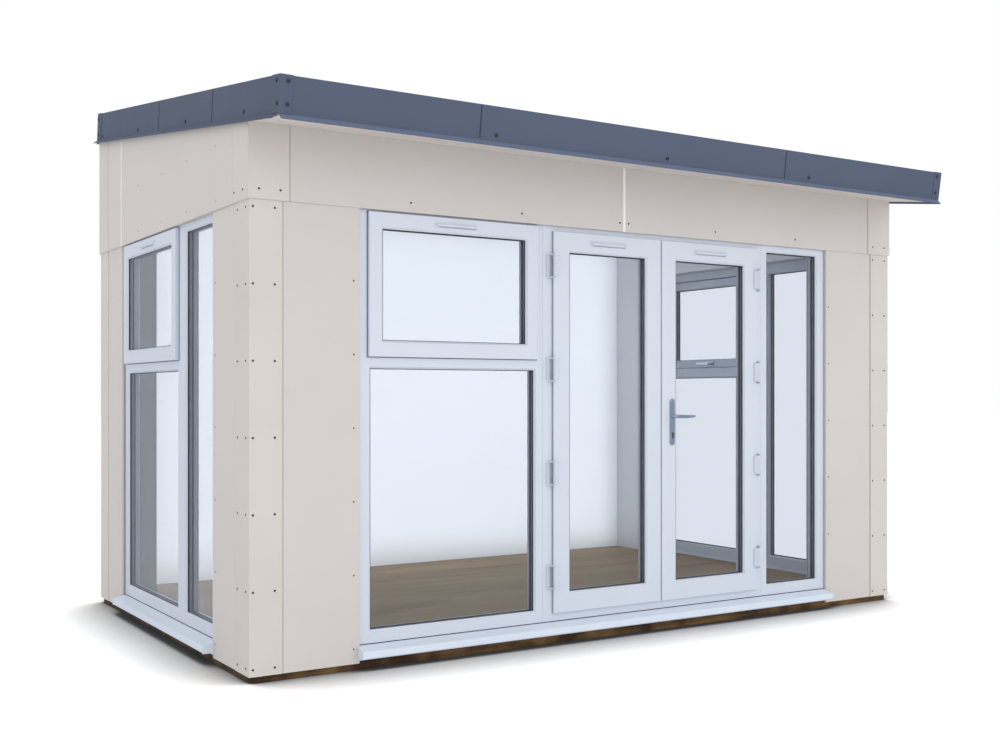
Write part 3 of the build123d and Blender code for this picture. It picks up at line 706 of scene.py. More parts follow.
CLADDING = RenderBoard("render_board", paint(207, 202, 199), 0.9, sheen_level=0.3)
# The trim's folds are painted lighter: rubbed wear and a painted highlight.
TRIM = CoatedSheet(
    "warm_grey_trim", paint(209, 203, 197), 0.65, edge_radius=0.003, sheen_level=0.3, edge_rub_and_highlight=1.3
)
SOFFIT = CoatedSheet("soffit_sheet", paint(214, 208, 204), 0.7, sheen_level=0.3, edge_rub_and_highlight=1.1)
# The roof edge's drip kick is painted lighter: a painted highlight.
SLATE_STEEL = CoatedSheet(
    "slate_steel",
    paint(85, 94, 114),
    0.55,
    sheen_level=0.16,
    depth=0.00003,
    edge_rub_and_highlight=1.35,
    kick_highlight=1.45,
)
PROFILE = MouldedPlastic("white_profile", paint(210, 217, 229), 0.32, sheen_level=0.4)
# The sills' white profile, painted lighter than the frames' for the light on their upward faces:
# painted light.
SILL_LIT_PROFILE = MouldedPlastic("lit_sill_profile", paint(220, 229, 242), 0.32, sheen_level=0.4)
JOINT_STRIP = MouldedPlastic("cream_joint_strip", paint(244, 243, 243), 0.4)
LINING = MouldedPlastic("white_wall_lining", paint(237, 240, 244), 0.6, mark_size=2.0)
# The reveals of the piers and the underside of the header get painted shade.
SIDE_PIER = ShadedRevealPanel("side_pier_lining", paint(228, 231, 234), 0.6, mark_size=2.0)
FRONT_PIER = ShadedRevealPanel(
    "front_pier_lining",
    LINING.colour,
    0.6,
    mark_size=2.0,
    cut_axis="X",
    reveal_shade=(0.42, 0.45, 0.50),
)
WALL_HEADER = ShadedRevealPanel(
    "header_lining", LINING.colour, 0.6, mark_size=2.0, cut_axis="Z", reveal_shade=(0.60, 0.63, 0.67)
)
MEMBRANE = MouldedPlastic("roof_rubber", paint(66, 67, 70), 0.7, mark_size=1.5, variation=0.12)
BEARERS = SawnTimber("stained_bearer", paint(116, 88, 52), 0.8, sheen_level=0.3)
JOISTS = SawnTimber(
    "stained_joist", paint(106, 81, 48), 0.8, sheen_level=0.3, stretch=(14.0, 1.0, 14.0)
)
FLOOR = PlankFloor("plank_floor", paint(158, 135, 105), 0.6, sheen_level=0.3)
CHROME = PlatedMetal("polished_chrome", (0.52, 0.58, 0.67), 0.14, edge_radius=0.0008)
NICKEL = PlatedMetal("satin_nickel", (0.24, 0.25, 0.25), 0.34, edge_radius=0.0006)
SCREW_STEEL = PlatedMetal("screw_steel", (0.06, 0.055, 0.05), 0.45, edge_radius=0.0003)
PAINTED_SCREW = CoatedSheet(
    "painted_screw", paint(150, 143, 135), 0.6, edge_radius=0.0003, edge_rub_and_highlight=1.1
)
EDGE_SCREW = CoatedSheet("slate_screw", paint(52, 58, 72), 0.4, edge_radius=0.0004)
GLASS = ClearGlass("clear_glass", (0.918, 0.935, 0.960), 0.0)
SPACER = MouldedPlastic("spacer_bar", paint(140, 146, 160), 0.45, variation=0.03)
GASKET = MouldedPlastic("rubber_gasket", paint(50, 53, 64), 0.5, variation=0.05)
# A dark strip beside the trims' edges: painted shade of the gap there.
TRIM_SHADOW_LINE = MouldedPlastic("trim_shadow_line", paint(166, 159, 149), 0.8, variation=0.03)
# The vent slots' grey: a real slot, darkened as painted shade under each hood.
VENT_SHADE = MouldedPlastic("vent_slot", paint(128, 134, 148), 0.6)
# The opener seals' grey: rubber, and painted shade of the gap round each sash.
SASH_SEAL_AND_SHADE = MouldedPlastic("sash_seal_and_shade", paint(92, 98, 112), 0.6, variation=0.04)
LAP_SEAL = MouldedPlastic("lap_seal", paint(46, 52, 66), 0.6, variation=0.03)

NODE_FINISHES: dict[str, Finish] = {
    name: finish
    for finish, names in (
        (BEARERS, "base_rim_bearers"),
        (JOISTS, "base_joists"),
        (FLOOR, "floor_deck"),
        (FRONT_PIER, "front_wall_left_pier front_wall_right_pier"),
        (SIDE_PIER, "left_wall_front_pier left_wall_rear_pier"),
        (SIDE_PIER, "right_wall_front_pier right_wall_rear_pier"),
        (WALL_HEADER, "front_wall_header left_wall_header right_wall_header"),
        (LINING, "rear_wall roof_deck"),
        (CLADDING, "front_cladding side_cladding rear_cladding"),
        (CLADDING, "front_header_band side_header_bands rear_header_band"),
        (JOINT_STRIP, "header_joint_strips"),
        (SILL_LIT_PROFILE, "window_sills"),
        (TRIM, "lower_corner_trims upper_corner_trims"),
        (SOFFIT, "soffit_board"),
        (MEMBRANE, "roof_membrane"),
        (SLATE_STEEL, "front_fascia rear_fascia side_fascias fascia_corner_caps"),
        (CHROME, "handle_backplates door_lever window_handles"),
        (NICKEL, "lock_cylinder"),
    )
    for name in names.split()
}


# ---------------------------------------------------------------- modelling


class Bench:
    """The modelling moves that every sub-assembly uses."""

    @staticmethod
    def clear() -> None:
        """Leaves edit mode and deselects everything."""
        if bpy.context.object is not None and bpy.context.object.mode != "OBJECT":
            bpy.ops.object.mode_set(mode="OBJECT")
        bpy.ops.object.select_all(action="DESELECT")

    @staticmethod
    def take_new(name: str) -> bpy.types.Object:
        """Names the primitive that was just added and applies its place.

        Args:
            name: The piece's name.

        Returns:
            The object, at the origin, with its place in its mesh.
        """
        piece = bpy.context.object
        piece.name = piece.data.name = name
        bpy.ops.object.transform_apply(location=True, rotation=True, scale=True)
        return piece

    @classmethod
    def block(cls, box: Box) -> bpy.types.Object:
        """A block that fills a box, ready to be shaped.

        Args:
            box: The box.

        Returns:
            The block.
        """
        cls.clear()
        low, high = box
        bpy.ops.mesh.primitive_cube_add(
            size=1.0, location=(low + high) / 2, scale=tuple(high - low)
        )
        return cls.take_new("block")

    @staticmethod
    def pick_faces(piece: bpy.types.Object, wanted: Callable[[bmesh.types.BMFace], bool]) -> None:
        """Goes into edit mode with only the wanted faces selected.

        Args:
            piece: The mesh that is shaped.
            wanted: Says whether a face is selected.
        """
        bpy.context.view_layer.objects.active = piece
        bpy.ops.object.mode_set(mode="EDIT")
        bpy.ops.mesh.select_mode(type="FACE")
        bpy.ops.mesh.select_all(action="DESELECT")
        mesh = bmesh.from_edit_mesh(piece.data)
        for face in mesh.faces:
            face.select_set(wanted(face))
        bmesh.update_edit_mesh(piece.data)

    @staticmethod
    def shade(piece: bpy.types.Object, degrees: float) -> None:
        """Leaves edit mode and shades a piece smooth up to an angle.

        Args:
            piece: The piece.
            degrees: The angle above which an edge stays sharp.
        """
        bpy.ops.object.mode_set(mode="OBJECT")
        piece.select_set(True)
        bpy.ops.object.shade_smooth_by_angle(angle=math.radians(degrees))

    @classmethod
    def soften(cls, piece: bpy.types.Object, arris: float) -> None:
        """Bevels all of a piece's edges and shades it.

        Args:
            piece: The piece.
            arris: The bevel's width.
        """
        cls.pick_faces(piece, lambda face: True)
        bpy.ops.mesh.normals_make_consistent(inside=False)
        bpy.ops.mesh.bevel(offset=arris, segments=1, affect="EDGES", clamp_overlap=True)
        cls.shade(piece, 25)

    @classmethod
    def ring(cls, box: Box, axis: int, width: float, arris: float) -> bpy.types.Object:
        """A rectangular frame that fills a box, open along one axis.

        Args:
            box: The box.
            axis: The axis that the opening runs along, 0 for X to 2 for Z.
            width: How wide the frame's members are.
            arris: The bevel on its edges.

        Returns:
            The frame.
        """
        piece = cls.block(box)
        cls.pick_faces(piece, lambda face: abs(face.normal[axis]) > 0.9)
        bpy.ops.mesh.inset(thickness=width, depth=0.0, use_individual=True)
        bpy.ops.mesh.bridge_edge_loops()
        cls.soften(piece, arris)
        return piece

    @classmethod
    def strip(cls, line: Box, outward: Vector, width: float, rise: float) -> bpy.types.Object:
        """A flat bar that lies half sunk in a face, between two points of it.

        Args:
            line: The bar's two ends, on the face.
            outward: The direction that the face looks in.
            width: The bar's width.
            rise: How far the bar stands out of the face.

        Returns:
            The bar.
        """
        cls.clear()
        bpy.ops.mesh.primitive_cube_add(size=1.0)
        start, end = line
        along = (end - start).normalized()
        across = along.cross(outward).normalized()
        turn = Matrix((across, along, outward)).transposed().to_4x4()
        sizes = Matrix.Diagonal((width, (end - start).length, 2 * rise, 1.0))
        bpy.context.object.matrix_world = Matrix.Translation((start + end) / 2) @ turn @ sizes
        bar = cls.take_new("strip")
        cls.soften(bar, rise / 3)
        return bar

    @classmethod
    def join(cls, name: str, pieces: Sequence[bpy.types.Object]) -> bpy.types.Object:
        """Makes one piece of several.

        Args:
            name: The joined piece's name.
            pieces: The pieces.

        Returns:
            The joined piece.
        """
        cls.clear()
        for piece in pieces:
            piece.select_set(True)
        bpy.context.view_layer.objects.active = pieces[0]
        if len(pieces) > 1:
            bpy.ops.object.join()
        pieces[0].name = pieces[0].data.name = name
        return pieces[0]

    @classmethod
    def repeat(
        cls, name: str, master: bpy.types.Object, places: Iterable[Place]
    ) -> bpy.types.Object:
        """Copies a piece that stands on the origin along +Z to many places, as one mesh.

        Args:
            name: The joined piece's name.
            master: The piece that is copied, and removed at the end.
            places: Each copy's foot and the direction that it stands in.

        Returns:
            The joined copies.
        """
        copies = []
        for foot, outward in places:
            copy = master.copy()
            copy.data = master.data.copy()
            turn = outward.to_track_quat("Z", "Y").to_matrix().to_4x4()
            copy.data.transform(Matrix.Translation(foot) @ turn)
            bpy.context.scene.collection.objects.link(copy)
            copies.append(copy)
        bpy.data.objects.remove(master)
        return cls.join(name, copies)


def hand_over(piece: bpy.types.Object, finish: Finish, body: str) -> None:
    """Gives a new piece its finish and its body, and reports it.

    Args:
        piece: The piece.
        finish: Its finish.
        body: The body that it rides on.
    """
    piece.data.materials.clear()
    piece.data.materials.append(finish.material())
    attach(piece, body)
    LOG.info("%s: %d faces on %s", piece.name, len(piece.data.polygons), body)


def solid_boxes(node: bpy.types.Object) -> list[Box]:
    """The box of each separate solid in a node.

    Args:
        node: The node's object, a mesh of loose triangles.

    Returns:
        Each solid's lowest and highest corner.
    """
    copy = bmesh.new()
    copy.from_mesh(node.data)
    bmesh.ops.remove_doubles(copy, verts=copy.verts, dist=1e-6)
    left = set(copy.verts)
    boxes = []
    while left:
        seed = left.pop()
        group, front = [seed], [seed]
        while front:
            vertex = front.pop()
            near = {edge.other_vert(vertex) for edge in vertex.link_edges} & left
            left -= near
            group += near
            front += near
        low = Vector([min(v.co[i] for v in group) for i in range(3)])
        high = Vector([max(v.co[i] for v in group) for i in range(3)])
        boxes.append((low, high))
    copy.free()
    return boxes


def thin_axis(box: Box) -> int:
    """The level axis that an upright box is thin along.

    Args:
        box: The box.

    Returns:
        0 for X or 1 for Y.
    """
    return min(range(2), key=lambda i: box[1][i] - box[0][i])


def shrunk(box: Box, inset: float) -> Box:
    """A box with each face moved inward.

    Args:
        box: The box.
        inset: How far, or below 0 for outward.

    Returns:
        The new box.
    """
    margin = Vector((inset, inset, inset))
    return box[0] + margin, box[1] - margin


class Facing(Enum):
    """A side of the pod, as the direction that it faces."""

    FRONT = (0.0, -1.0, 0.0)
    REAR = (0.0, 1.0, 0.0)
    LEFT = (-1.0, 0.0, 0.0)
    RIGHT = (1.0, 0.0, 0.0)

    @property
    def outward(self) -> Vector:
        """The direction that the side faces."""
        return Vector(self.value)

    @property
    def along(self) -> int:
        """The axis that runs along the side, 0 for X or 1 for Y."""
        return 0 if self in (Facing.FRONT, Facing.REAR) else 1

    @property
    def across(self) -> int:
        """The axis that the side faces along, 0 for X or 1 for Y."""
        return 1 - self.along

    @property
    def sign(self) -> float:
        """1 where the side faces up its axis, and -1 where it faces down it."""
        return self.outward[self.across]

    def outer(self, box: Box) -> float:
        """Where a box's outer face is.

        Args:
            box: The box.

        Returns:
            Its place on the axis that the side faces along.
        """
        return box[self.sign > 0][self.across]

    @classmethod
    def of(cls, box: Box) -> Facing:
        """The glazed side that an upright box lies on, the front, left or right.

        Args:
            box: The box.

        Returns:
            The side.
        """
        axis = thin_axis(box)
        if axis == cls.FRONT.across:
            return cls.FRONT
        return cls.LEFT if box[0][axis] + box[1][axis] < 0 else cls.RIGHT


# ---------------------------------------------------------------- sealed glass units


@dataclass
class GlassUnits:
    """The sealed double-glazed units, each two panes on a spacer bar, with rubber beads."""

    pane: float = 0.004
    pane_arris: float = 0.0004
    edge_gap: float = 0.0005
    spacer_inset: float = 0.002
    spacer_width: float = 0.0098
    spacer_arris: float = 0.0008
    seal_depth: float = 0.0028
    seal_step: float = 0.0006
    seal_gap: float = 0.0002
    seal_arris: float = 0.0003
    sight_cover: float = 0.012
    bead_width: float = 0.0028
    bead_rise: float = 0.0024
    bead_gap: float = 0.0001
    bead_arris: float = 0.0009
    owners: dict[str, str] = field(
        default_factory=lambda: {
            "window_glass": "root",
            "left_door_glass": "left_door",
            "right_door_glass": "right_door",
        }
    )

    def build(self, nodes: dict[str, bpy.types.Object]) -> None:
        """Builds every unit in place of its plain solid.

        Args:
            nodes: The frame's nodes.
        """
        for name, body in self.owners.items():
            panes, spacers, beads = [], [], []
            for unit in solid_boxes(nodes[name]):
                for layer in self.layers(unit, self.edge_gap, 0.0, self.pane):
                    panes.append(Bench.block(layer))
                    Bench.soften(panes[-1], self.pane_arris)
                spacers.append(self.spacer(unit))
                beads += self.seals(unit) + self.beads(unit)
            label = name.replace("_glass", "")
            glass = Bench.join(f"{label}_panes", panes)
            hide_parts(name)
            hand_over(glass, GLASS, body)
            hand_over(Bench.join(f"{label}_spacer_bars", spacers), SPACER, body)
            hand_over(Bench.join(f"{label}_glazing_beads", beads), GASKET, body)

    @staticmethod
    def layers(unit: Box, inset: float, near: float, far: float) -> list[Box]:
        """The boxes of a layer that lies at both faces of a unit.

        Args:
            unit: The unit's box.
            inset: How far the layer stays inside the unit's edges.
            near: How deep the layer's one face is, below 0 for outside the unit.
            far: How deep its other face is.

        Returns:
            The box at the low face and the one at the high face.
        """
        axis = thin_axis(unit)
        boxes = []
        for face, inward in ((unit[0][axis], 1.0), (unit[1][axis], -1.0)):
            start, end = shrunk(unit, inset)
            start[axis], end[axis] = sorted((face + inward * near, face + inward * far))
            boxes.append((start, end))
        return boxes

    def spacer(self, unit: Box) -> bpy.types.Object:
        """The bar between a unit's two sheets.

        Args:
            unit: The unit's box.

        Returns:
            The spacer.
        """
        axis = thin_axis(unit)
        start, end = shrunk(unit, self.spacer_inset)
        start[axis] = unit[0][axis] + self.pane + self.seal_depth
        end[axis] = unit[1][axis] - self.pane - self.seal_depth
        return Bench.ring((start, end), axis, self.spacer_width, self.spacer_arris)

    def seals(self, unit: Box) -> list[bpy.types.Object]:
        """The dark sealant between the spacer and each sheet.

        Args:
            unit: The unit's box.

        Returns:
            The two rings of sealant.
        """
        near = self.pane + self.seal_gap
        far = self.pane + self.seal_depth - self.seal_gap
        width = self.spacer_width + self.seal_step
        return [
            Bench.ring(layer, thin_axis(unit), width, self.seal_arris)
            for layer in self.layers(unit, self.spacer_inset, near, far)
        ]

    def beads(self, unit: Box) -> list[bpy.types.Object]:
        """The rubber beads on both faces of a unit, round its sight line.

        Args:
            unit: The unit's box.

        Returns:
            The two beads.
        """
        return [
            Bench.ring(layer, thin_axis(unit), self.bead_width, self.bead_arris)
            for layer in self.layers(unit, self.sight_cover, -self.bead_rise, -self.bead_gap)
        ]


# ---------------------------------------------------------------- screws


@dataclass
class ScrewHead:
    """A small round head with a driver recess, turned from a disc."""

    radius: float
    rise: float
    sides: int = 12
    sunk: float = 0.0006
    crown_share: float = 0.3
    crown_rise: float = 0.35
    recess_share: float = 0.42
    recess_depth: float = 0.9
    recess_taper: float = 0.6

    def model(self) -> bpy.types.Object:
        """Makes the head, standing on the origin along +Z.

        Returns:
            The head.
        """
        Bench.clear()
        depth = self.rise + self.sunk
        bpy.ops.mesh.primitive_cylinder_add(
            vertices=self.sides,
            radius=self.radius,
            depth=depth,
            location=(0.0, 0.0, depth / 2 - self.sunk),
        )
        head = Bench.take_new("screw_head")
        Bench.pick_faces(head, lambda face: face.normal.z > 0.9)
        crown = self.radius * self.crown_share
        bpy.ops.mesh.inset(thickness=crown, depth=self.rise * self.crown_rise)
        rest = self.radius - crown - self.radius * self.recess_share
        bpy.ops.mesh.inset(thickness=rest, depth=0.0)
        bpy.ops.mesh.extrude_region_move(
            TRANSFORM_OT_translate={"value": (0.0, 0.0, -self.rise * self.recess_depth)}
        )
        bpy.ops.transform.resize(value=(self.recess_taper, self.recess_taper, 1.0))
        Bench.shade(head, 35)
        return head


@dataclass
class Fixings:
    """The screws that hold the boards, the corner trims, the bands and the roof edge."""

    nodes: dict[str, bpy.types.Object]
    trim_head: ScrewHead = field(default_factory=lambda: ScrewHead(0.0048, 0.0012))
    board_head: ScrewHead = field(default_factory=lambda: ScrewHead(0.0038, 0.0010))
    edge_head: ScrewHead = field(default_factory=lambda: ScrewHead(0.0085, 0.0035, sides=16))
    first_row: float = 0.060
    board_first_row: float = 0.095
    row_pitch: float = 0.327
    rows: int = 7
    left_leg_columns: tuple[float, ...] = (0.017, 0.115)
    right_leg_columns: tuple[float, ...] = (0.031, 0.132)
    side_leg_columns: tuple[float, ...] = (0.039, 0.139)
    board_left_inset: float = 0.029
    board_right_inset: float = 0.021
    rear_board_columns: tuple[float, ...] = (0.022, 0.610, 1.220)
    band_row: float = 2.098
    band_trim_front: tuple[float, ...] = (0.041, 0.138)
    band_trim_side: tuple[float, ...] = (0.057, 0.162)
    band_front_columns: tuple[float, ...] = (0.770, 1.376, 1.972, 2.028, 2.620, 3.220)
    band_side_columns: tuple[float, ...] = (0.411, 0.820, 1.225, 1.630)
    band_middle_row: float = 2.343
    edge_row: float = 0.052
    edge_front_places: tuple[float, ...] = (-0.99, -0.01, 0.96)
    edge_side_places: tuple[float, ...] = (-1.180, -0.398, 0.405, 1.140)
    cap_drops: tuple[float, ...] = (0.027, 0.118)
    cap_inset: float = 0.036
    reach: float = 0.5

    def land(self, node: str, facing: Facing, along: float, height: float) -> Place:
        """Where a screw sits on a side of the pod.

        Args:
            node: The node that it holds.
            facing: The side.
            along: Its place along the side, X or Y.
            height: Its height, Z.

        Returns:
            The screw's foot and the direction that it faces.
        """
        start = Vector((0.0, 0.0, height))
        start[facing.along] = along
        start[facing.across] = facing.outer(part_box(node)) + facing.sign * self.reach
        hit, foot, normal, _ = self.nodes[node].ray_cast(start, -facing.outward)
        if not hit:
            raise ValueError(f"no part of {node} at {along:.3f}, {height:.3f}")
        return foot, normal

    def grid(
        self, node: str, facings: Sequence[Facing], columns: Iterable[float], rows: Iterable[float]
    ) -> list[Place]:
        """Screws in rows and columns, alike on one or more sides of the pod.

        Args:
            node: The node that they hold.
            facings: The sides.
            columns: Their places along the side, X or Y.
            rows: Their heights, Z.

        Returns:
            Each screw's place.
        """
        spots = [(column, row) for row in rows for column in columns]
        return [self.land(node, facing, *spot) for facing in facings for spot in spots]

    def row_heights(self, first: float) -> list[float]:
        """The heights of the rows of screws up a wall.

        Args:
            first: The lowest row's height.

        Returns:
            Each row's height.
        """
        return [first + self.row_pitch * i for i in range(self.rows)]

    def trim_places(self) -> list[Place]:
        """The screws in the lower corner trims."""
        low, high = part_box("lower_corner_trims")
        rows = self.row_heights(self.first_row)
        columns = [low.x + c for c in self.left_leg_columns]
        columns += [high.x - c for c in self.right_leg_columns]
        side_columns = [low.y + c for c in self.side_leg_columns]
        places = self.grid("lower_corner_trims", ENDS, columns, rows)
        return places + self.grid("lower_corner_trims", SIDES, side_columns, rows)

    def board_places(self) -> list[Place]:
        """The screws in the boards, beside the windows and at the rear joint."""
        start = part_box("front_window_frame")[0].x - self.board_left_inset
        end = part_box("front_sidelight_frame")[1].x + self.board_right_inset
        side_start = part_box("left_sidelight_frame")[0].y - self.board_left_inset
        rear = [side * x for x in self.rear_board_columns for side in (-1.0, 1.0)]
        rows = self.row_heights(self.board_first_row)[:-1]
        places = self.grid("front_cladding", [Facing.FRONT], (start, end), rows)
        places += self.grid("side_cladding", SIDES, (side_start,), rows)
        return places + self.grid("rear_cladding", [Facing.REAR], rear, rows)

    def band_places(self) -> list[Place]:
        """The screws along the bottom of the front and rear bands and of the corner trims."""
        low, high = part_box("lower_corner_trims")
        row = (self.band_row,)
        columns = [low.x + c for c in self.band_front_columns]
        trims = [low.x + c for c in self.band_trim_front]
        trims += [high.x - c for c in self.band_trim_front]
        side_trims = [low.y + c for c in self.band_trim_side]
        places = self.grid("front_header_band", [Facing.FRONT], columns, row)
        places += self.grid("rear_header_band", [Facing.REAR], columns, row)
        places += self.grid("upper_corner_trims", ENDS, trims, row)
        return places + self.grid("upper_corner_trims", SIDES, side_trims, row)

    def side_band_places(self) -> list[Place]:
        """The painted screws of the side bands, in a row at the bottom and one half way up."""
        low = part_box("lower_corner_trims")[0]
        columns = [low.y + c for c in self.band_side_columns]
        rows = (self.band_row, self.band_middle_row)
        return self.grid("side_header_bands", SIDES, columns, rows)

    def edge_places(self) -> list[Place]:
        """The larger screws through the folded roof edge and its corner caps."""
        caps = "fascia_corner_caps"
        cap_low, cap_high = shrunk(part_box("fascia_corner_caps"), self.cap_inset)
        places = []
        for facing, node in zip(ENDS, ("front_fascia", "rear_fascia")):
            low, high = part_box(node)
            places += self.grid(node, [facing], self.edge_front_places, (low.z + self.edge_row,))
            rows = [high.z - drop for drop in self.cap_drops]
            places += self.grid(caps, [facing], (cap_low.x, cap_high.x), rows)
        low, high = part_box("front_fascia")
        rear_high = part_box("rear_fascia")[1]
        slope = (rear_high.z - high.z) / (rear_high.y - low.y)
        for y in self.edge_side_places:
            row = low.z + (y - low.y) * slope + self.edge_row
            places += self.grid("side_fascias", SIDES, (y,), (row,))
        for y in (cap_low.y, cap_high.y):
            rows = [high.z + (y - low.y) * slope - drop for drop in self.cap_drops]
            places += self.grid(caps, SIDES, (y,), rows)
        return places

    def build(self) -> None:
        """Builds all screws, each kind as one piece."""
        trim, board, edge = self.trim_head, self.board_head, self.edge_head
        groups = (
            ("trim_screws", trim, self.trim_places(), SCREW_STEEL, "lock_metal"),
            ("board_screws", board, self.board_places(), SCREW_STEEL, "lock_metal"),
            ("band_screws", trim, self.band_places(), SCREW_STEEL, "lock_metal"),
            ("side_band_screws", board, self.side_band_places(), PAINTED_SCREW, "cladding_board"),
            ("roof_edge_screws", edge, self.edge_places(), EDGE_SCREW, "roof_edge_metal"),
        )
        for name, head, places, finish, slot in groups:
            hand_over(Bench.repeat(name, head.model(), places), finish, "root")


ENDS = (Facing.FRONT, Facing.REAR)
SIDES = (Facing.LEFT, Facing.RIGHT)


# ---------------------------------------------------------------- seals, shadow lines, laps and slots


@dataclass
class EdgeLines:
    """The thin lines: seals and vent slots, partly painted shade; painted shadow lines along the
    trims; laps; joints at the sills.
    """

    nodes: dict[str, bpy.types.Object]
    seal_width: float = 0.0032
    seal_rise: float = 0.0020
    seal_arris: float = 0.0008
    clearance: float = 0.0002
    bead_width: float = 0.0045
    bead_rise: float = 0.0010
    lower_legs: tuple[float, float] = (0.150, 0.165)
    upper_legs: tuple[float, float] = (0.186, 0.190)
    lap_width: float = 0.005
    lap_rise: float = 0.0012
    lap_height: float = 0.142
    lap_drop: float = 0.079
    membrane_sheets: int = 3
    membrane_lap_width: float = 0.050
    membrane_lap_rise: float = 0.0018
    door_flange: float = 0.0101
    door_seal_inset: float = 0.0006
    door_seal_rise: float = 0.0030
    door_seal_width: float = 0.0050
    door_seal_arris: float = 0.0005
    sill_joint_width: float = 0.0040
    sill_joint_rise: float = 0.0008
    vent_slot_length: float = 0.205
    vent_slot_width: float = 0.0026
    vent_slot_rise: float = 0.0004
    vent_slot_up: float = 0.0030
    vent_base: float = 0.003

    def opener_seals_and_shade(self) -> list[bpy.types.Object]:
        """A rubber seal round each top-hung window, on the face of its frame, darkened as painted
        shade of the gap.
        """
        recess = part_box("front_window_frame")[0].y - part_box("opener_sashes")[0].y
        rings = []
        for box in solid_boxes(self.nodes["opener_sashes"]):
            facing = Facing.of(box)
            axis = facing.across
            foot = facing.outer(box) - facing.sign * (recess - self.clearance / 2)
            start, end = shrunk(box, -self.seal_width - self.clearance)
            start[axis], end[axis] = sorted((foot, foot + facing.sign * self.seal_rise))
            rings.append(Bench.ring((start, end), axis, self.seal_width, self.seal_arris))
        return rings

    def trim_shadow_lines(self) -> list[bpy.types.Object]:
        """A dark strip along the free edge of each front corner trim's legs: painted shade of the
        gap there.
        """
        lower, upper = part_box("lower_corner_trims"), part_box("upper_corner_trims")
        bands = ("front_header_band", "side_header_bands")
        boards = ("front_cladding", "side_cladding")
        bars = []
        for trims, top, legs, nodes in (
            (lower, lower[1].z, self.lower_legs, boards),
            (upper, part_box("front_header_band")[1].z, self.upper_legs, bands),
        ):
            # Painted shade: a dark strip on the board beside each trim's free edge.
            y = trims[0].y + legs[1] + self.bead_width / 2
            for facing in SIDES:
                x = facing.outer(trims) - facing.sign * (legs[0] + self.bead_width / 2)
                spots = (
                    (x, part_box(nodes[0])[0].y, Facing.FRONT),
                    (facing.outer(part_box(nodes[1])), y, facing),
                )
                for spot_x, spot_y, looks in spots:
                    ends = Vector((spot_x, spot_y, trims[0].z)), Vector((spot_x, spot_y, top))
                    bars.append(Bench.strip(ends, looks.outward, self.bead_width, self.bead_rise))
        return bars

    def roof_laps(self) -> list[bpy.types.Object]:
        """The seal that shows where two lengths of the folded roof edge meet."""
        low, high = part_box("front_fascia")
        rear_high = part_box("rear_fascia")[1]
        pitch = math.atan2(rear_high.z - high.z, rear_high.y - low.y)
        along = Vector((0.0, -math.sin(pitch), math.cos(pitch)))
        reach = along * self.lap_height / 2
        names = ("front_fascia", "rear_fascia", "side_fascias", "side_fascias")
        bars = []
        for facing, node in zip(ENDS + SIDES, names):
            axis = facing.along
            boxes = solid_boxes(self.nodes[node])
            outward = facing.outward
            if facing in ENDS:
                outward = along.cross(Vector((1.0, 0.0, 0.0))) * -facing.sign
            else:
                boxes = [b for b in boxes if (b[0].x + b[1].x > 0) == (facing.sign > 0)]
            boxes.sort(key=lambda box: box[0][axis])
            for before, after in zip(boxes, boxes[1:]):
                spot = (before[1][axis] + after[0][axis]) / 2
                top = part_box(node)[1].z
                if facing in SIDES:
                    top = high.z + (spot - low.y) * math.tan(pitch)
                beside = spot - self.lap_width * 2
                foot = Fixings(self.nodes).land(node, facing, beside, top - self.lap_drop)[0]
                foot[axis] = spot
                ends = (foot - reach, foot + reach)
                bars.append(Bench.strip(ends, outward, self.lap_width, self.lap_rise))
        return bars

    def membrane_laps(self) -> list[bpy.types.Object]:
        """The welded laps of the roof rubber, which run up the slope."""
        low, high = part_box("roof_membrane")
        faces = self.nodes["roof_membrane"].data.polygons
        up = max(faces, key=lambda face: face.normal.z * face.area).normal.copy()
        slope = -up.y / up.z
        margin = self.membrane_lap_width
        bars = []
        for side in (-1, 1):
            x = side * (high.x - low.x) / (2 * self.membrane_sheets)
            end = Vector((x, high.y - margin, high.z - margin * slope))
            start = Vector((x, low.y + margin, high.z - (high.y - low.y - margin) * slope))
            bars.append(
                Bench.strip((start, end), up, self.membrane_lap_width, self.membrane_lap_rise)
            )
        return bars

    def door_seal_and_shade(self, leaf: str) -> list[bpy.types.Object]:
        """The rubber seal behind the flange of a door leaf, which closes on the frame; its dark
        ring is also painted shade of the gap at the leaf's edge.

        Args:
            leaf: The leaf's node.

        Returns:
            The one ring of seal.
        """
        low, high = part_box(leaf)
        # Painted shade: the seal's dark ring also stands for the shaded gap at the leaf's edge.
        start, end = shrunk((low, high), self.door_seal_inset)
        start.y = low.y + self.door_flange
        end.y = start.y + self.door_seal_rise
        return [Bench.ring((start, end), 1, self.door_seal_width, self.door_seal_arris)]

    def sill_joints(self) -> list[bpy.types.Object]:
        """The dark joint between the foot of each frame and its sill."""
        bars = []
        for facing, nodes in (
            (Facing.FRONT, ("front_window_frame", "door_frame", "front_sidelight_frame")),
            (Facing.LEFT, ("left_window_frame", "left_sidelight_frame")),
            (Facing.RIGHT, ("right_window_frame", "right_sidelight_frame")),
        ):
            for node in nodes:
                low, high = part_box(node)
                start, end = low.copy(), high.copy()
                start[facing.across] = end[facing.across] = facing.outer((low, high))
                start.z = end.z = low.z + self.sill_joint_width / 2
                width, rise = self.sill_joint_width, self.sill_joint_rise
                bars.append(Bench.strip((start, end), facing.outward, width, rise))
        return bars

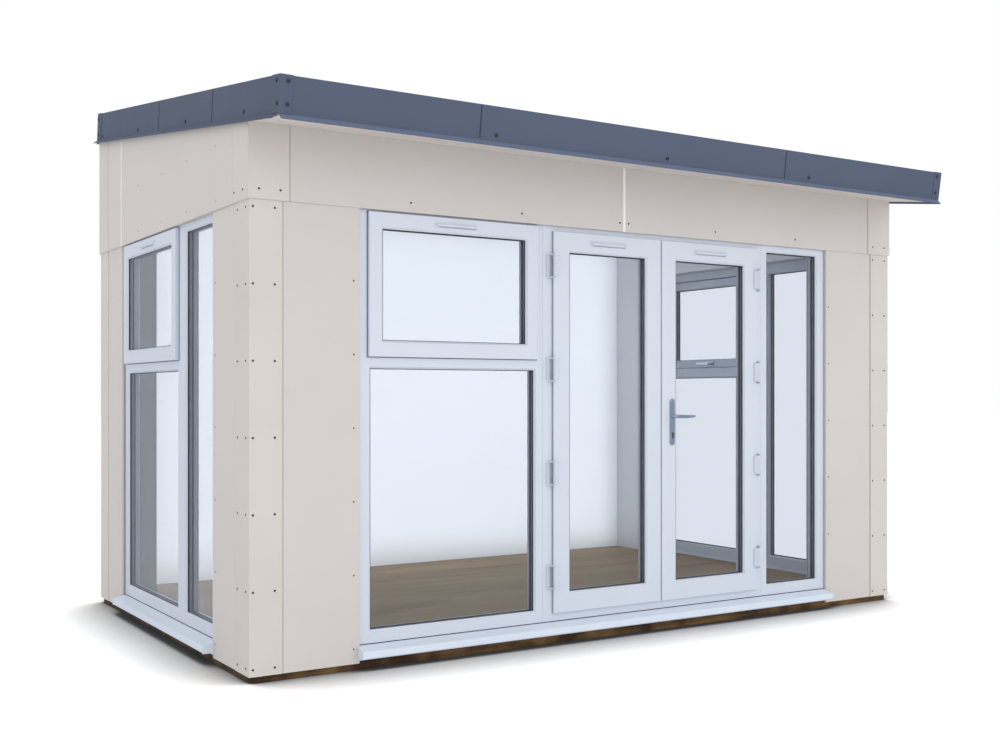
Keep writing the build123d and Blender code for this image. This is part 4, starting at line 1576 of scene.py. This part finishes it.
    def vent_slots(self, node: str) -> list[bpy.types.Object]:
        """The dark slot under the hood of each ventilator: a real slot, darkened as painted shade
        under the hood.

        Args:
            node: The ventilators' node.

        Returns:
            The slots.
        """
        bars = []
        for low, high in solid_boxes(self.nodes[node]):
            facing = Facing.of((low, high))
            axis = facing.across
            middle = (low + high) / 2
            middle.z = low.z + self.vent_slot_up
            wall = (low if facing.sign > 0 else high)[axis]
            middle[axis] = wall + facing.sign * self.vent_base
            reach = Vector((0.0, 0.0, 0.0))
            reach[facing.along] = self.vent_slot_length / 2
            ends = (middle - reach, middle + reach)
            width, rise = self.vent_slot_width, self.vent_slot_rise
            bars.append(Bench.strip(ends, facing.outward, width, rise))
        return bars

    def build(self) -> None:
        """Builds every seal, shadow line, lap and slot, each kind as one piece for each body."""
        left, right, rubber = "left_door", "right_door", "roof_membrane"
        groups = (
            ("opener_seals_and_shade", self.opener_seals_and_shade(), SASH_SEAL_AND_SHADE, "root", rubber),
            ("corner_trim_shadow_lines", self.trim_shadow_lines(), TRIM_SHADOW_LINE, "root", "corner_trim"),
            ("roof_edge_laps", self.roof_laps(), LAP_SEAL, "root", "roof_edge_metal"),
            ("membrane_laps", self.membrane_laps(), MEMBRANE, "root", rubber),
            ("sill_joints", self.sill_joints(), GASKET, "root", rubber),
            ("left_door_seal", self.door_seal_and_shade("left_door_leaf"), GASKET, left, rubber),
            ("right_door_seal", self.door_seal_and_shade("right_door_leaf"), GASKET, right, rubber),
            ("window_vent_slots", self.vent_slots("window_vents"), VENT_SHADE, "root", rubber),
            ("left_vent_slot", self.vent_slots("left_door_vent"), VENT_SHADE, left, rubber),
            ("right_vent_slot", self.vent_slots("right_door_vent"), VENT_SHADE, right, rubber),
        )
        for name, bars, finish, body, slot in groups:
            hand_over(Bench.join(name, bars), finish, body)


# ---------------------------------------------------------------- studio


@dataclass
class Studio:
    """The pale floor, the soft light and the camera."""

    camera_place: tuple[float, float, float] = (-3.8423, -6.0989, 1.2252)
    camera_heading: float = 32.369
    lens: float = 43.62
    shift_up: float = 0.0195
    view_depth: float = 200.0
    sky_level: float = 0.76
    sky_top: float = 1.2
    floor_size: float = 120.0
    floor_drop: float = 0.0005
    floor_shade: float = 1.0
    floor_seen: float = 1.5
    mirrored: Colour = (0.42, 0.47, 0.55)
    mirrored_top: Colour = (0.70, 0.75, 0.84)
    contact_reach: float = 0.6
    contact_lean: tuple[float, float, float] = (0.45, -0.3, 0.84)
    sun_level: float = 0.65
    sun_spread: float = 50.0
    sun_heading: tuple[float, float, float] = (-0.30, 0.80, -0.09)
    room_power: float = 19.5
    room_spread: float = 60.0
    room_share: float = 0.90
    room_height: float = 2.3
    room_place: tuple[float, float] = (0.5, 1.25)

    def build(self) -> None:
        """Sets up the whole studio."""
        bpy.context.scene.view_settings.view_transform = "Standard"
        self.camera()
        self.sky()
        self.floor()
        self.lamps()

    def camera(self) -> None:
        """Places the camera, level, on the pod's front left."""
        lens = bpy.data.cameras.new("camera")
        lens.lens = self.lens
        lens.sensor_width = 36.0
        lens.shift_y = self.shift_up
        lens.clip_end = self.view_depth
        camera = bpy.data.objects.new("camera", lens)
        camera.location = self.camera_place
        camera.rotation_euler = (math.radians(90), 0.0, -math.radians(self.camera_heading))
        bpy.context.scene.collection.objects.link(camera)
        bpy.context.scene.camera = camera

    @staticmethod
    def ray_shares(wiring: Wiring) -> tuple[Socket, Socket, Socket]:
        """Tells apart the rays that show the surroundings.

        Args:
            wiring: The world's or the floor's wiring.

        Returns:
            1 for rays from the camera, for rays through glass, and for rays off a mirror.
        """
        ray = wiring.add("ShaderNodeLightPath").outputs
        through = ray["Is Transmission Ray"]
        mirror = wiring.sum("SUBTRACT", ray["Is Glossy Ray"], through)
        return ray["Is Camera Ray"], through, wiring.sum("MAXIMUM", mirror, 0.0)

    @staticmethod
    def glow(wiring: Wiring, kind: str, colour: object, strength: object = 1.0) -> Socket:
        """A shader that gives light.

        Args:
            wiring: The world's or the floor's wiring.
            kind: Background or Emission.
            colour: Its colour or socket.
            strength: Its strength or socket.

        Returns:
            The shader's socket.
        """
        inputs = {"Color": colour, "Strength": strength}
        return wiring.add(f"ShaderNode{kind}", inputs).outputs[0]

    def sky(self) -> None:
        """A soft sky: white where it is seen, and a cool grey where it is mirrored."""
        world = bpy.data.worlds.new("studio_sky")
        bpy.context.scene.world = world
        wiring = Wiring.bare(world)
        direction = {"Vector": wiring.coordinates("Generated")}
        up = wiring.add("ShaderNodeSeparateXYZ", direction).outputs["Z"]
        level = wiring.span(up, 0.0, 1.0, self.sky_level, self.sky_top)
        direct, through, mirror = self.ray_shares(wiring)
        seen = wiring.sum("MAXIMUM", through, direct)
        light = self.glow(wiring, "Background", tinted(WHITE), level)
        white = self.glow(wiring, "Background", tinted(WHITE))
        high = wiring.span(up, 0.0, 0.6)
        mirrored = wiring.blend(high, tinted(self.mirrored), tinted(self.mirrored_top))
        grey = self.glow(wiring, "Background", mirrored)
        shown = wiring.shared(mirror, wiring.shared(seen, light, white), grey)
        wiring.add("ShaderNodeOutputWorld", {"Surface": shown})

    def floor(self) -> None:
        """A wide pale floor that keeps the pod's shadow, and goes white away from it."""
        Bench.clear()
        bpy.ops.mesh.primitive_plane_add(
            size=self.floor_size, location=(0.0, 0.0, -self.floor_drop)
        )
        floor = Bench.take_new("studio_floor")
        material = bpy.data.materials.new("studio_floor")
        wiring = Wiring.bare(material)
        direct, through, mirror = self.ray_shares(wiring)
        near = wiring.add(
            "ShaderNodeAmbientOcclusion",
            {"Distance": self.contact_reach, "Normal": Vector(self.contact_lean).normalized()},
            samples=16,
        )
        # Painted shadow: near the pod, the floor's colour as the camera sees it is darkened by an
        # occlusion node.
        open_share = wiring.span(near.outputs["AO"], 0.41, 0.92, 0.06, 1.0)
        shade = wiring.sum("MULTIPLY", open_share, self.floor_seen)
        grey_level = wiring.add("ShaderNodeCombineColor", {0: shade, 1: shade, 2: shade})
        shown, seen = (
            wiring.add("ShaderNodeBsdfDiffuse", {"Color": colour}).outputs[0]
            for colour in (tinted(WHITE, self.floor_shade), grey_level.outputs[0])
        )
        white = self.glow(wiring, "Emission", tinted(WHITE))
        grey = self.glow(wiring, "Emission", tinted(self.mirrored))
        for share, shader in ((direct, seen), (through, white), (mirror, grey)):
            shown = wiring.shared(share, shown, shader)
        wiring.add("ShaderNodeOutputMaterial", {"Surface": shown})
        floor.data.materials.append(material)

    def lamps(self) -> None:
        """One wide soft lamp from the front right, and a panel that lights the room."""
        sun = bpy.data.lights.new("soft_key", "SUN")
        sun.energy = self.sun_level
        sun.angle = math.radians(self.sun_spread)
        key = bpy.data.objects.new("soft_key", sun)
        low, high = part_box("floor_deck")
        panel = bpy.data.lights.new("room_panel", "AREA")
        panel.shape = "RECTANGLE"
        panel.size = self.room_share * (high.x - low.x)
        panel.size_y = self.room_height
        panel.energy = self.room_power
        panel.spread = math.radians(self.room_spread)
        room = bpy.data.objects.new("room_panel", panel)
        room.location = (0.0, high.y - self.room_place[0], self.room_place[1])
        for lamp, heading in ((key, self.sun_heading), (room, Facing.REAR.value)):
            lamp.rotation_euler = Vector(heading).to_track_quat("-Z", "Y").to_euler()
            lamp.visible_camera = False
            lamp.visible_glossy = False
            lamp.visible_transmission = False
            bpy.context.scene.collection.objects.link(lamp)


# ---------------------------------------------------------------- assembly


def dress_nodes(nodes: dict[str, bpy.types.Object]) -> None:
    """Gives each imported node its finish.

    Args:
        nodes: The frame's nodes.
    """
    for name, node in nodes.items():
        finish = NODE_FINISHES.get(name, PROFILE)
        node.data.materials.clear()
        node.data.materials.append(finish.material())
        LOG.info("%s: %s", name, finish.name)


def main() -> None:
    """Loads the frame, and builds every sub-assembly."""
    logging.basicConfig(level=logging.INFO, format="%(name)s: %(message)s")
    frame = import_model()
    dress_nodes(frame["nodes"])
    GlassUnits().build(frame["nodes"])
    Fixings(frame["nodes"]).build()
    EdgeLines(frame["nodes"]).build()
    Studio().build()


if __name__ == "__main__":
    main()
